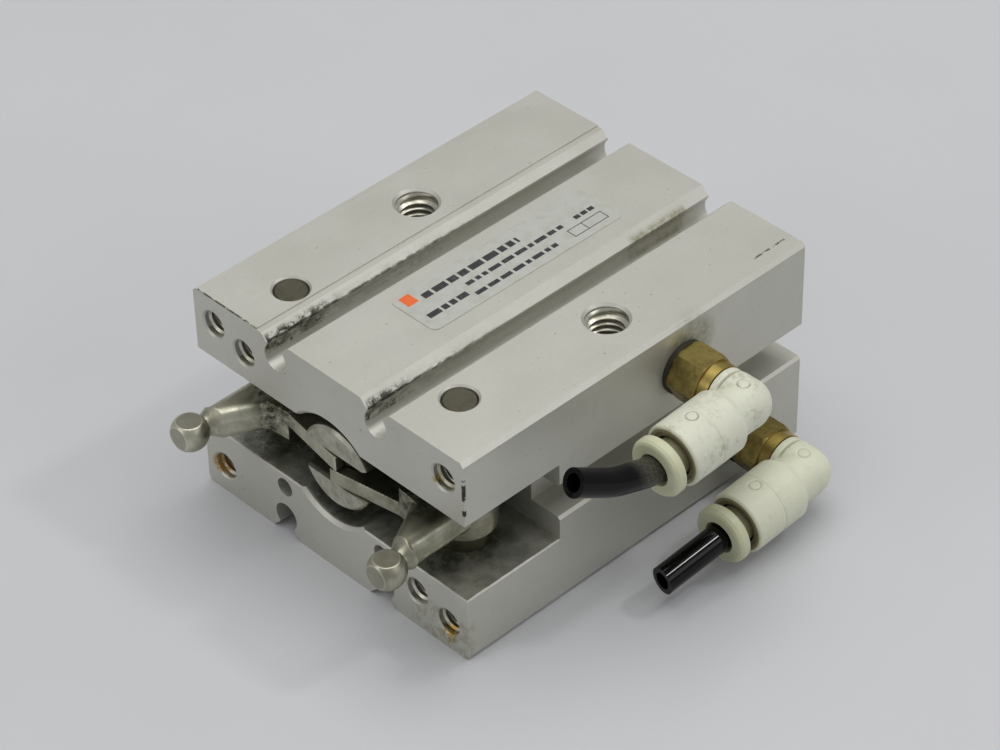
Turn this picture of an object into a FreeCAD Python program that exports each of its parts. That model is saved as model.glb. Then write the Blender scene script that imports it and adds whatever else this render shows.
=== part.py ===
import FreeCAD, Part
import math
import os

# Compact parallel gripper actuator, shown without its fingers and finger guide.
# Frame: origin at the centre of the bottom face, +X to the right seen from the
# front (lever) end, +Y from the front to the rear, +Z up.  Millimetres.

# ---- driving dimensions: housing ----
WIDTH = 52.0
LENGTH = 64.0
HEIGHT = 34.0
LONG_EDGE_CHAMFER = 0.6
SHARP_EDGE_BREAK = 0.2

HALF_W = WIDTH / 2
FRONT = -LENGTH / 2
REAR = LENGTH / 2
MID_Z = HEIGHT / 2

# ---- lever slot across the front, and the side grooves behind it ----
SLOT_HEIGHT = 12.7
SLOT_DEPTH = 17.0
SLOT_TOP = MID_Z + SLOT_HEIGHT / 2
SLOT_BOTTOM = MID_Z - SLOT_HEIGHT / 2
SIDE_GROOVE_HEIGHT = 5.4
SIDE_GROOVE_DEPTH = 5.3
SCALLOP_R = 8.6
SCALLOP_DEPTH = 20.5
SCALLOP_CHAMFER = 0.5

# ---- sensor grooves, two on top and two below ----
SENSOR_X = 9.7
SENSOR_DEPTH = 3.1
SENSOR_R = 2.1
SENSOR_NECK = 3.0
SENSOR_MOUTH = 5.5
LEDGE_WIDTH = 0.7
LEDGE_DEPTH = 0.25

# ---- tapped and plain holes in the housing; tapped ones have the thread's outside radius ----
TOP_TAP_X = 18.2
TOP_TAP_Y = FRONT + 33.7
TOP_TAP_R = 3.0
TOP_TAP_SINK_R = 3.4
TOP_TAP_DEPTH = 12.0
THROUGH_PILOT_R = 2.1
FRONT_TAP_X = 22.2
FRONT_TAP_DZ = 12.5
FRONT_TAP_R = 2.0
FRONT_TAP_SINK_R = 2.25
FRONT_TAP_DEPTH = 10.0
LOCK_TAP_X = 16.25
LOCK_TAP_DZ = 10.9
LOCK_TAP_DEPTH = 4.8
DOWEL_X = 9.6
DOWEL_Z = 8.4
DOWEL_R = 1.45
DOWEL_DEPTH = 4.0
REAR_TAP_X = 17.0
REAR_TAP_R = 2.5
REAR_TAP_SINK_R = 2.8
REAR_TAP_DEPTH = 10.0

# ---- cylinder bore and what closes it ----
BORE_R = 12.5
BORE_START = FRONT + 23.5
ROD_PASSAGE_R = 6.0
COVER_START = BORE_START
COVER_LENGTH = 8.0
COVER_R = 12.45
SEAL_POCKET_R = 7.5
SEAL_POCKET_DEPTH = 3.0
ORING_GROOVE = 1.8
BUMPER_T = 1.0
BUMPER_OUTER_R = 10.5
BUMPER_INNER_R = 7.0
CAP_FRONT = FRONT + 55.9
CAP_LENGTH = 4.3
CAP_BOSS_R = 6.5
CAP_BOSS_START = FRONT + 52.8
RING_START = CAP_FRONT + CAP_LENGTH
RING_T = 1.1
RING_GROOVE_R = 13.2
REAR_RECESS_R = 13.0
REAR_RECESS_DEPTH = 1.5

# ---- piston and rod ----
ROD_R = 5.0
ROD_FIT = 0.05
PISTON_R = 12.4
PISTON_START = FRONT + 32.8
PISTON_LENGTH = 12.0
ROD_NOSE_START = FRONT + 0.93
ROD_NOSE_R = 6.45
ROD_NOSE_LENGTH = 12.1
ROD_SLOT_HEIGHT = 5.3
ROD_SLOT_END = FRONT + 11.4
JOINT_PIN_Y = FRONT + 4.35
JOINT_PIN_R = 2.0
JOINT_PIN_LENGTH = 12.2

# ---- levers ----
PIVOT_X = 16.2
PIVOT_Y = FRONT + 8.85
SHAFT_R = 2.5
SHAFT_TOP = HEIGHT - 0.3
SHAFT_BOTTOM = 3.5
LEVER_HUB_R = 4.7
LEVER_HUB_HEIGHT = 7.2
LEVER_PLATE = 4.9
LEVER_ARM = 2.35
LEVER_HOLE_R = 3.3
BUSH_WALL = 0.75
FORK_GAP = 4.3
KNOB_X = 19.4
KNOB_Y = FRONT - 7.7
KNOB_R = 2.72
KNOB_FLAT = 2.0
KNOB_NOSE = 2.05
LEVER_ROUNDING = 1.7

# ---- push-in elbow fittings on the right side ----
UPPER_PORT = (FRONT + 40.15, 26.55)
LOWER_PORT = (FRONT + 52.95, 6.8)
UPPER_DROP = 3.4
LOWER_DROP = 3.8
PORT_R = 2.1
PORT_DEPTH = 8.0
GASKET_R = 3.95
GASKET_T = 0.7
HEX_FLATS = 7.4
HEX_LENGTH = 4.9
COLLAR_R = 3.6
COLLAR_LENGTH = 1.6
SPIGOT_R = 2.1
STUD_BORE_R = 1.0
ELBOW_X = HALF_W + 11.0
ELBOW_BARREL_R = 3.6
ELBOW_END_X = ELBOW_X + 0.1
SOCKET_R = 4.6
SOCKET_START = 3.8
SOCKET_END = 13.6
CHAMBER_R = 3.55
CHAMBER_START = 6.6
TUBE_R = 2.0
TUBE_BORE_R = 1.25
TUBE_SEAT = 4.6
BUTTON_FLANGE_R = 4.3
BUTTON_FLANGE_START = 15.1
BUTTON_FLANGE_END = 17.0
LOWER_TUBE_END = 28.4
LOWER_TUBE_BEVEL = 0.9

# ---- rating label on the top face ----
LABEL_WIDTH = 9.0
LABEL_LENGTH = 35.5
LABEL_T = 0.12
LABEL_X = -0.25
LABEL_START = FRONT + 15.9

X_AXIS = FreeCAD.Vector(1, 0, 0)
Y_AXIS = FreeCAD.Vector(0, 1, 0)
Z_AXIS = FreeCAD.Vector(0, 0, 1)


def vec(x, y, z):
    return FreeCAD.Vector(x, y, z)


def export(name, shape):
    shape.exportStep("parts/" + name + ".step")


def block(x0, x1, y0, y1, z0, z1):
    return Part.makeBox(x1 - x0, y1 - y0, z1 - z0, vec(x0, y0, z0))


def rod_x(x0, x1, y, z, r):
    return Part.makeCylinder(r, x1 - x0, vec(x0, y, z), X_AXIS)


def rod_y(x, y0, y1, z, r):
    return Part.makeCylinder(r, y1 - y0, vec(x, y0, z), Y_AXIS)


def rod_z(x, y, z0, z1, r):
    return Part.makeCylinder(r, z1 - z0, vec(x, y, z0), Z_AXIS)


def ring_y(y0, y1, outer, inner):
    return rod_y(0, y0, y1, MID_Z, outer).cut(rod_y(0, y0 - 1, y1 + 1, MID_Z, inner))


def prism(points, direction):
    wire = Part.makePolygon([vec(*p) for p in points] + [vec(*points[0])])
    return Part.Face(wire).extrude(direction)


def oring_y(y, mean_r, section_r):
    return Part.makeTorus(mean_r, section_r, vec(0, y, MID_Z), Y_AXIS)


def countersink(centre, axis, hole_r, sink_r):
    """Cone cutter whose wide end lies in the face the axis points out of."""
    depth = sink_r - hole_r
    inner = centre.sub(vec(axis.x * depth, axis.y * depth, axis.z * depth))
    return Part.makeCone(hole_r, sink_r, depth, inner, axis)


def tapped_hole(centre, axis, hole_r, sink_r, depth):
    start = centre.sub(vec(axis.x * depth, axis.y * depth, axis.z * depth))
    drill = Part.makeCylinder(hole_r, depth, start, axis)
    point = Part.makeCone(hole_r, 0.0, hole_r * 0.6, start, vec(-axis.x, -axis.y, -axis.z))
    return drill.fuse(point).fuse(countersink(centre, axis, hole_r, sink_r))


# ---------------------------------------------------------------- housing

def outer_block():
    c = LONG_EDGE_CHAMFER
    section = [
        (-HALF_W + c, FRONT, 0), (HALF_W - c, FRONT, 0),
        (HALF_W, FRONT, c), (HALF_W, FRONT, HEIGHT - c),
        (HALF_W - c, FRONT, HEIGHT), (-HALF_W + c, FRONT, HEIGHT),
        (-HALF_W, FRONT, HEIGHT - c), (-HALF_W, FRONT, c),
    ]
    return prism(section, vec(0, LENGTH, 0))


def lever_slot():
    return block(-HALF_W - 1, HALF_W + 1, FRONT - 1, FRONT + SLOT_DEPTH, SLOT_BOTTOM, SLOT_TOP)


def slot_edge_breaks():
    """Small chamfers along the slot's long front and side edges."""
    e = SHARP_EDGE_BREAK
    cutters = []
    for z, up in ((SLOT_TOP, 1), (SLOT_BOTTOM, -1)):
        front = [(-HALF_W - 1, FRONT, z + up * e), (-HALF_W - 1, FRONT + e, z), (-HALF_W - 1, FRONT, z)]
        cutters.append(prism(front, vec(WIDTH + 2, 0, 0)))
        for side in (-1, 1):
            x = side * HALF_W
            edge = [(x, FRONT - 1, z + up * e), (x - side * e, FRONT - 1, z), (x, FRONT - 1, z)]
            cutters.append(prism(edge, vec(0, SLOT_DEPTH + 1, 0)))
    return cutters


def side_groove(side):
    """Open channel along one side, from the lever slot to the rear face."""
    z0 = MID_Z - SIDE_GROOVE_HEIGHT / 2
    z1 = MID_Z + SIDE_GROOVE_HEIGHT / 2
    outer = side * (HALF_W + 1)
    lip = side * HALF_W
    bottom = side * (HALF_W - SIDE_GROOVE_DEPTH)
    e = 2 * SHARP_EDGE_BREAK
    y0 = FRONT + SLOT_DEPTH - 0.5
    section = [
        (bottom, y0, z0), (lip - side * e, y0, z0), (lip, y0, z0 - e), (outer, y0, z0 - e),
        (outer, y0, z1 + e), (lip, y0, z1 + e), (lip - side * e, y0, z1), (bottom, y0, z1),
    ]
    return prism(section, vec(0, LENGTH, 0))


def sensor_groove(x, on_top):
    """Keyhole groove: round channel, straight neck and a flared mouth, over the full length."""
    up = 1 if on_top else -1
    face = HEIGHT if on_top else 0.0
    centre_z = face - up * SENSOR_DEPTH
    y0 = FRONT - 1
    run = vec(0, LENGTH + 2, 0)
    channel = rod_y(x, y0, REAR + 1, centre_z, SENSOR_R)
    flare = (SENSOR_MOUTH - SENSOR_NECK) / 2
    half_neck = SENSOR_NECK / 2
    half_mouth = SENSOR_MOUTH / 2
    mouth = [
        (x - half_neck, y0, centre_z), (x + half_neck, y0, centre_z),
        (x + half_neck, y0, face - up * flare), (x + half_mouth, y0, face),
        (x + half_mouth, y0, face + up), (x - half_mouth, y0, face + up),
        (x - half_mouth, y0, face), (x - half_neck, y0, face - up * flare),
    ]
    return channel.fuse(prism(mouth, run))


def groove_ledge():
    """Shallow step along the outer lip of the top left sensor groove."""
    lip = -SENSOR_X - SENSOR_MOUTH / 2
    return block(lip - LEDGE_WIDTH, lip + 0.5, FRONT - 1, REAR + 1, HEIGHT - LEDGE_DEPTH, HEIGHT + 1)


def front_scallop():
    cut = rod_y(0, FRONT - 1, FRONT + SCALLOP_DEPTH, MID_Z, SCALLOP_R)
    big = SCALLOP_R + SCALLOP_CHAMFER
    cone = Part.makeCone(big, SCALLOP_R, SCALLOP_CHAMFER, vec(0, FRONT, MID_Z), Y_AXIS)
    return cut.fuse(cone)


def cylinder_bore():
    cut = rod_y(0, BORE_START, REAR + 1, MID_Z, BORE_R)
    cut = cut.fuse(rod_y(0, FRONT + SCALLOP_DEPTH - 1, BORE_START + 1, MID_Z, ROD_PASSAGE_R))
    cut = cut.fuse(rod_y(0, RING_START, RING_START + RING_T + 0.1, MID_Z, RING_GROOVE_R))
    return cut.fuse(rod_y(0, REAR - REAR_RECESS_DEPTH, REAR + 1, MID_Z, REAR_RECESS_R))


def front_holes():
    cutters = []
    out = vec(0, -1, 0)
    for side in (-1, 1):
        for up in (-1, 1):
            at = vec(side * FRONT_TAP_X, FRONT, MID_Z + up * FRONT_TAP_DZ)
            cutters.append(tapped_hole(at, out, FRONT_TAP_R, FRONT_TAP_SINK_R, FRONT_TAP_DEPTH))
        at = vec(side * LOCK_TAP_X, FRONT, MID_Z - side * LOCK_TAP_DZ)
        cutters.append(tapped_hole(at, out, FRONT_TAP_R, FRONT_TAP_SINK_R, LOCK_TAP_DEPTH))
        cutters.append(rod_y(side * DOWEL_X, FRONT - 1, FRONT + DOWEL_DEPTH, DOWEL_Z, DOWEL_R))
    return cutters


def face_holes():
    """Mounting holes in the top and bottom faces, and the two lever shaft holes."""
    cutters = []
    for side in (-1, 1):
        for z, up in ((HEIGHT, 1), (0.0, -1)):
            at = vec(side * TOP_TAP_X, TOP_TAP_Y, z)
            cutters.append(tapped_hole(at, vec(0, 0, up), TOP_TAP_R, TOP_TAP_SINK_R, TOP_TAP_DEPTH))
        cutters.append(rod_z(side * TOP_TAP_X, TOP_TAP_Y, -1, HEIGHT + 1, THROUGH_PILOT_R))
        x = side * PIVOT_X
        cutters.append(rod_z(x, PIVOT_Y, SHAFT_BOTTOM, HEIGHT + 1, SHAFT_R + 0.03))
        cutters.append(countersink(vec(x, PIVOT_Y, HEIGHT), Z_AXIS, SHAFT_R, SHAFT_R + 0.3))
    return cutters


def rear_holes():
    cutters = []
    for side in (-1, 1):
        at = vec(side * REAR_TAP_X, REAR, MID_Z)
        cutters.append(tapped_hole(at, Y_AXIS, REAR_TAP_R, REAR_TAP_SINK_R, REAR_TAP_DEPTH))
    return cutters


def air_ways():
    """Two port threads and the drillings that join them to the bore's two ends."""
    cutters = []
    for y, z in (UPPER_PORT, LOWER_PORT):
        cutters.append(tapped_hole(vec(HALF_W, y, z), X_AXIS, PORT_R, PORT_R + 0.4, PORT_DEPTH))
    y, z = UPPER_PORT
    duct_r = 0.8
    duct_x = 13.2
    front_chamber_y = COVER_START + COVER_LENGTH + 0.65
    cutters.append(rod_x(duct_x - duct_r, HALF_W - PORT_DEPTH + 1, y, z, duct_r))
    cutters.append(rod_y(duct_x, front_chamber_y, y, z, duct_r))
    cutters.append(rod_x(6.0, duct_x, front_chamber_y, z, duct_r * 0.8))
    y, z = LOWER_PORT
    cutters.append(rod_x(6.0, HALF_W - PORT_DEPTH + 1, y, z, duct_r))
    return cutters


def make_housing():
    body = outer_block()
    cutters = [lever_slot(), front_scallop(), cylinder_bore()]
    cutters += slot_edge_breaks()
    cutters += [side_groove(-1), side_groove(1)]
    for side in (-1, 1):
        for on_top in (True, False):
            cutters.append(sensor_groove(side * SENSOR_X, on_top))
    cutters.append(groove_ledge())
    cutters += front_holes() + face_holes() + rear_holes() + air_ways()
    for cutter in cutters:
        body = body.cut(cutter)
    return body


def make_label():
    r = 1.2
    x0 = LABEL_X - LABEL_WIDTH / 2
    film = block(x0, x0 + LABEL_WIDTH, LABEL_START, LABEL_START + LABEL_LENGTH, HEIGHT, HEIGHT + LABEL_T)
    upright = [e for e in film.Edges if abs(e.tangentAt(e.FirstParameter).z) > 0.9]
    return film.makeFillet(r, upright)


# ---------------------------------------------------------------- cylinder parts

def make_rod_cover():
    y0 = COVER_START
    y1 = y0 + COVER_LENGTH
    cover = ring_y(y0, y1, COVER_R, ROD_R + ROD_FIT)
    cover = cover.cut(rod_y(0, y0 - 1, y0 + SEAL_POCKET_DEPTH, MID_Z, SEAL_POCKET_R))
    groove_y = y0 + 5.2
    groove = ring_y(groove_y - ORING_GROOVE / 2, groove_y + ORING_GROOVE / 2, COVER_R + 1, COVER_R - 1.3)
    bumper_seat = ring_y(y1 - BUMPER_T / 2, y1 + 1, BUMPER_OUTER_R, BUMPER_INNER_R)
    return cover.cut(groove).cut(bumper_seat)


def make_cover_oring():
    return oring_y(COVER_START + 5.2, COVER_R - 0.6, 0.62)


def make_rod_seal():
    """Lip seal: a rubber ring whose two lips open towards the pressure side."""
    y0 = COVER_START + 0.1
    y1 = COVER_START + SEAL_POCKET_DEPTH - 0.1
    seal = ring_y(y0, y1, SEAL_POCKET_R - 0.05, ROD_R + ROD_FIT)
    lip_gap = ring_y(y1 - 1.1, y1 + 1, SEAL_POCKET_R - 0.8, ROD_R + 0.8)
    return seal.cut(lip_gap)


def make_front_bumper():
    y1 = COVER_START + COVER_LENGTH
    return ring_y(y1 - BUMPER_T / 2, y1 + BUMPER_T / 2, BUMPER_OUTER_R - 0.1, BUMPER_INNER_R + 0.1)


def make_piston():
    y0 = PISTON_START
    y1 = y0 + PISTON_LENGTH
    piston = ring_y(y0, y1, PISTON_R, ROD_R - 1.0)
    piston = piston.cut(ring_y(y0 + 1.2, y0 + 4.0, PISTON_R + 1, PISTON_R - 2.4))
    piston = piston.cut(ring_y(y0 + 5.0, y0 + 8.0, PISTON_R + 1, PISTON_R - 3.0))
    piston = piston.cut(ring_y(y0 + 9.0, y0 + 11.0, PISTON_R + 1, PISTON_R - 1.0))
    return piston.cut(rod_y(0, y0 - 1, y0 + 0.6, MID_Z, ROD_R))


def make_piston_seal():
    y0 = PISTON_START + 1.3
    seal = ring_y(y0, y0 + 2.6, BORE_R - 0.03, PISTON_R - 2.3)
    notch = ring_y(y0 + 0.9, y0 + 1.7, BORE_R + 1, BORE_R - 0.7)
    return seal.cut(notch)


def make_magnet_ring():
    y0 = PISTON_START + 5.1
    return ring_y(y0, y0 + 2.8, PISTON_R - 0.1, PISTON_R - 2.9)


def make_wear_ring():
    y0 = PISTON_START + 9.1
    return ring_y(y0, y0 + 1.8, BORE_R - 0.04, PISTON_R - 0.9)


def make_rod_nut():
    """Thin hexagon nut that holds the piston on the rod's threaded tail."""
    y0 = PISTON_START + PISTON_LENGTH
    across = 10.0
    corners = []
    for i in range(6):
        a = math.radians(60 * i + 30)
        r = across / 2 / math.cos(math.radians(30))
        corners.append((r * math.cos(a), y0 + 0.02, MID_Z + r * math.sin(a)))
    nut = prism(corners, vec(0, 2.4, 0))
    return nut.cut(rod_y(0, y0 - 1, y0 + 4, MID_Z, ROD_R - 1.0))


def make_piston_rod():
    nose_end = ROD_NOSE_START + ROD_NOSE_LENGTH
    rod = rod_y(0, ROD_NOSE_START, nose_end, MID_Z, ROD_NOSE_R)
    chamfer = 0.4
    outer = rod_y(0, ROD_NOSE_START - 1, ROD_NOSE_START + chamfer, MID_Z, ROD_NOSE_R + 1)
    cone = Part.makeCone(ROD_NOSE_R - chamfer, ROD_NOSE_R, chamfer, vec(0, ROD_NOSE_START, MID_Z), Y_AXIS)
    rod = rod.cut(outer).fuse(cone)
    rod = rod.fuse(rod_y(0, nose_end, PISTON_START + 0.6, MID_Z, ROD_R))
    rod = rod.fuse(rod_y(0, PISTON_START + 0.6, PISTON_START + PISTON_LENGTH + 3.0, MID_Z, ROD_R - 1.02))
    half = ROD_SLOT_HEIGHT / 2
    slot = block(-10, 10, ROD_NOSE_START - 1, ROD_SLOT_END, MID_Z - half, MID_Z + half)
    rod = rod.cut(slot)
    return rod.cut(rod_z(0, JOINT_PIN_Y, 0, HEIGHT, JOINT_PIN_R + 0.01))


def make_joint_pin():
    half = JOINT_PIN_LENGTH / 2
    pin = rod_z(0, JOINT_PIN_Y, MID_Z - half, MID_Z + half, JOINT_PIN_R)
    rims = [e for e in pin.Edges if isinstance(e.Curve, Part.Circle)]
    return pin.makeChamfer(0.25, rims)


def make_end_cap():
    y1 = CAP_FRONT + CAP_LENGTH
    cap = rod_y(0, CAP_FRONT, y1, MID_Z, BORE_R - 0.05)
    cap = cap.fuse(rod_y(0, CAP_BOSS_START, CAP_FRONT, MID_Z, CAP_BOSS_R + 2))
    nut_pocket = rod_y(0, CAP_BOSS_START - 1, CAP_FRONT + 1.0, MID_Z, CAP_BOSS_R)
    groove_y = CAP_FRONT + 2.1
    groove = ring_y(groove_y - ORING_GROOVE / 2, groove_y + ORING_GROOVE / 2, BORE_R + 1, BORE_R - 1.35)
    puller = tapped_hole(vec(0, y1, MID_Z), Y_AXIS, 1.25, 1.6, 2.6)
    dish = rod_y(0, y1 - 0.5, y1 + 1, MID_Z, 8.0)
    return cap.cut(nut_pocket).cut(groove).cut(dish).cut(puller)


def make_cap_gasket():
    return oring_y(CAP_FRONT + 2.1, BORE_R - 0.65, 0.62)


def make_rear_bumper():
    return ring_y(CAP_BOSS_START - BUMPER_T, CAP_BOSS_START, CAP_BOSS_R + 1.9, CAP_BOSS_R + 0.1)


def make_retaining_ring():
    """Internal ring with a gap and two lugs, each with a plier hole."""
    y0 = RING_START + 0.05
    y1 = y0 + RING_T - 0.05
    ring = ring_y(y0, y1, RING_GROOVE_R - 0.1, BORE_R - 1.2)
    gap_half = 3.2
    ring = ring.cut(block(-gap_half, gap_half, y0 - 1, y1 + 1, MID_Z - 20, MID_Z - 5))
    for side in (-1, 1):
        at_x = side * 4.6
        at_z = MID_Z - 10.0
        lug = rod_y(at_x, y0, y1, at_z, 1.9)
        ring = ring.fuse(lug)
    for side in (-1, 1):
        ring = ring.cut(rod_y(side * 4.6, y0 - 1, y1 + 1, MID_Z - 10.0, 0.8))
    return ring


# ---------------------------------------------------------------- levers

def make_lever_shaft(side):
    pin = rod_z(side * PIVOT_X, PIVOT_Y, SHAFT_BOTTOM + 0.2, SHAFT_TOP, SHAFT_R)
    rims = [e for e in pin.Edges if isinstance(e.Curve, Part.Circle)]
    return pin.makeChamfer(0.3, rims)


def make_lever_spacers():
    """Four plain collars that keep both lever hubs in the middle of the slot."""
    collars = []
    gap = 0.1
    half_hub = LEVER_HUB_HEIGHT / 2
    for side in (-1, 1):
        for z0, z1 in ((SLOT_BOTTOM + gap, MID_Z - half_hub - gap), (MID_Z + half_hub + gap, SLOT_TOP - gap)):
            collar = rod_z(side * PIVOT_X, PIVOT_Y, z0, z1, 3.7)
            collars.append(collar.cut(rod_z(side * PIVOT_X, PIVOT_Y, z0 - 1, z1 + 1, SHAFT_R + 0.02)))
    return Part.makeCompound(collars)


def lever_outer_outline():
    """Plan of the right lever's full-thickness part, hub side to neck."""
    y = FRONT
    outer_x = 20.25
    return [
        (outer_x, y + 8.9), (outer_x, y - 3.6), (KNOB_X + 1.0, y - 5.6),
        (KNOB_X - 1.9, y - 5.6), (16.0, y - 2.6), (14.3, y + 0.7),
        (12.6, y + 2.2), (10.9, y + 2.35), (11.3, y + 6.2), (12.6, y + 10.6), (PIVOT_X, y + 13.0),
    ]


def make_right_lever_blank():
    """Plate, hub, neck and knob of the right lever, before the inner fork arm is added."""
    z0 = MID_Z - LEVER_PLATE / 2
    plate = prism([(x, y, z0) for x, y in lever_outer_outline()], vec(0, 0, LEVER_PLATE))
    long_edges = []
    for edge in plate.Edges:
        mid = edge.valueAt((edge.FirstParameter + edge.LastParameter) / 2)
        flat = abs(edge.tangentAt(edge.FirstParameter).z) < 0.1
        ahead = mid.y < FRONT + 6.5 and mid.x > 13.0
        if flat and ahead:
            long_edges.append(edge)
    plate = plate.makeFillet(LEVER_ROUNDING, long_edges)
    half_hub = LEVER_HUB_HEIGHT / 2
    hub = rod_z(PIVOT_X, PIVOT_Y, MID_Z - half_hub, MID_Z + half_hub, LEVER_HUB_R)
    neck = Part.makeCylinder(2.1, 3.2, vec(KNOB_X - 0.35, KNOB_Y + 3.6, MID_Z), vec(0.13, -1, 0))
    return plate.fuse(hub).fuse(neck).fuse(make_knob())


def make_knob():
    """Ball end with a flat on top, below and in front."""
    ball = Part.makeSphere(KNOB_R, vec(KNOB_X, KNOB_Y, MID_Z))
    keep = block(
        KNOB_X - 5, KNOB_X + 5, KNOB_Y - KNOB_NOSE, KNOB_Y + 5, MID_Z - KNOB_FLAT, MID_Z + KNOB_FLAT
    )
    return ball.common(keep)


def fork_arm(z0, z1):
    """Half-thickness inner arm of the right lever, open towards the rod's pin."""
    y = FRONT
    outline = [
        (-0.65, y + 0.5), (10.9, y + 2.35), (13.5, y + 3.0), (13.5, y + 12.0),
        (10.0, y + 11.4), (-0.65, y + 8.3),
    ]
    arm = prism([(px, py, z0) for px, py in outline], vec(0, 0, z1 - z0))
    reach = math.hypot(PIVOT_X, PIVOT_Y - JOINT_PIN_Y)
    ux = -PIVOT_X / reach
    uy = (JOINT_PIN_Y - PIVOT_Y) / reach
    half = FORK_GAP / 2
    inner = 15.5
    end = vec(PIVOT_X + ux * inner, PIVOT_Y + uy * inner, z0 - 1)
    slot = Part.makeCylinder(half, z1 - z0 + 2, end, Z_AXIS)
    far = vec(end.x + ux * 6, end.y + uy * 6, z0 - 1)
    nx = -uy * half
    ny = ux * half
    corners = [
        (end.x + nx, end.y + ny, z0 - 1), (far.x + nx, far.y + ny, z0 - 1),
        (far.x - nx, far.y - ny, z0 - 1), (end.x - nx, end.y - ny, z0 - 1),
    ]
    slot = slot.fuse(prism(corners, vec(0, 0, z1 - z0 + 2)))
    return arm.cut(slot)


def make_lever(side):
    """side +1 is the right lever with its arm low, -1 the left one with its arm high."""
    lever = make_right_lever_blank()
    half = LEVER_PLATE / 2
    low = MID_Z - half
    arm = fork_arm(low, low + LEVER_ARM)
    lever = lever.fuse(arm)
    lever = lever.cut(rod_z(PIVOT_X, PIVOT_Y, 0, HEIGHT, LEVER_HOLE_R))
    if side < 0:
        lever = lever.mirror(vec(0, 0, 0), X_AXIS)
        lever = lever.mirror(vec(0, 0, MID_Z), Z_AXIS)
    return lever.removeSplitter()


def make_lever_bush(side):
    half = LEVER_HUB_HEIGHT / 2
    x = side * PIVOT_X
    bush = rod_z(x, PIVOT_Y, MID_Z - half, MID_Z + half, LEVER_HOLE_R)
    return bush.cut(rod_z(x, PIVOT_Y, 0, HEIGHT, LEVER_HOLE_R - BUSH_WALL))


# ---------------------------------------------------------------- fittings

def make_port_stud(port):
    """Brass stud: threaded shank, hexagon, round collar and the spigot the elbow turns on."""
    y, z = port
    x0 = HALF_W + GASKET_T
    hex_end = x0 + HEX_LENGTH
    collar_end = hex_end + COLLAR_LENGTH
    corners = []
    corner_r = HEX_FLATS / 2 / math.cos(math.radians(30))
    for i in range(6):
        a = math.radians(60 * i)
        corners.append((x0, y + corner_r * math.cos(a), z + corner_r * math.sin(a)))
    stud = prism(corners, vec(HEX_LENGTH, 0, 0))
    crown = Part.makeCone(corner_r - 0.35, corner_r + 2.4, HEX_LENGTH * 0.6, vec(x0, y, z), X_AXIS)
    crown = crown.fuse(rod_x(x0 + HEX_LENGTH * 0.6, hex_end + 1, y, z, corner_r + 2.4))
    tail_start = vec(x0 + HEX_LENGTH * 0.4, y, z)
    tail = Part.makeCone(corner_r + 2.4, corner_r - 0.35, HEX_LENGTH * 0.6, tail_start, X_AXIS)
    tail = tail.fuse(rod_x(x0 - 1, x0 + HEX_LENGTH * 0.4, y, z, corner_r + 2.4))
    stud = stud.common(crown).common(tail)
    stud = stud.fuse(rod_x(hex_end, collar_end, y, z, COLLAR_R))
    stud = stud.fuse(rod_x(HALF_W - PORT_DEPTH + 1.5, x0, y, z, PORT_R - 0.05))
    spigot = rod_x(collar_end, ELBOW_X - 1.0, y, z, SPIGOT_R)
    groove_x = collar_end + 1.3
    groove = rod_x(groove_x - 0.5, groove_x + 0.5, y, z, SPIGOT_R + 1)
    groove = groove.cut(rod_x(groove_x - 1, groove_x + 1, y, z, SPIGOT_R - 0.6))
    stud = stud.fuse(spigot.cut(groove))
    return stud.cut(rod_x(0, ELBOW_X, y, z, STUD_BORE_R))


def make_port_gasket(port):
    y, z = port
    ring = rod_x(HALF_W, HALF_W + GASKET_T, y, z, GASKET_R)
    return ring.cut(rod_x(HALF_W - 1, HALF_W + 2, y, z, PORT_R + 0.1))


def make_stud_oring(port):
    y, z = port
    x = HALF_W + GASKET_T + HEX_LENGTH + COLLAR_LENGTH + 1.3
    return Part.makeTorus(SPIGOT_R - 0.1, 0.42, vec(x, y, z), X_AXIS)


def turned(radius_pairs):
    """Solid of revolution about the local +X axis from (distance, radius) points, starting at 0."""
    points = [vec(radius_pairs[0][0], 0, 0)]
    points += [vec(s, r, 0) for s, r in radius_pairs]
    points.append(vec(radius_pairs[-1][0], 0, 0))
    wire = Part.makePolygon(points + [points[0]])
    return Part.Face(wire).revolve(vec(0, 0, 0), X_AXIS, 360)


def place_on_socket(shape, port, drop):
    """Turn a shape made along +X so that it runs along the elbow's socket axis."""
    y, z = port
    a = math.radians(drop)
    direction = vec(0, -math.cos(a), -math.sin(a))
    turn = FreeCAD.Rotation(X_AXIS, direction)
    placed = shape.copy()
    placed.Placement = FreeCAD.Placement(vec(ELBOW_X, y, z), turn)
    return placed


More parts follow.
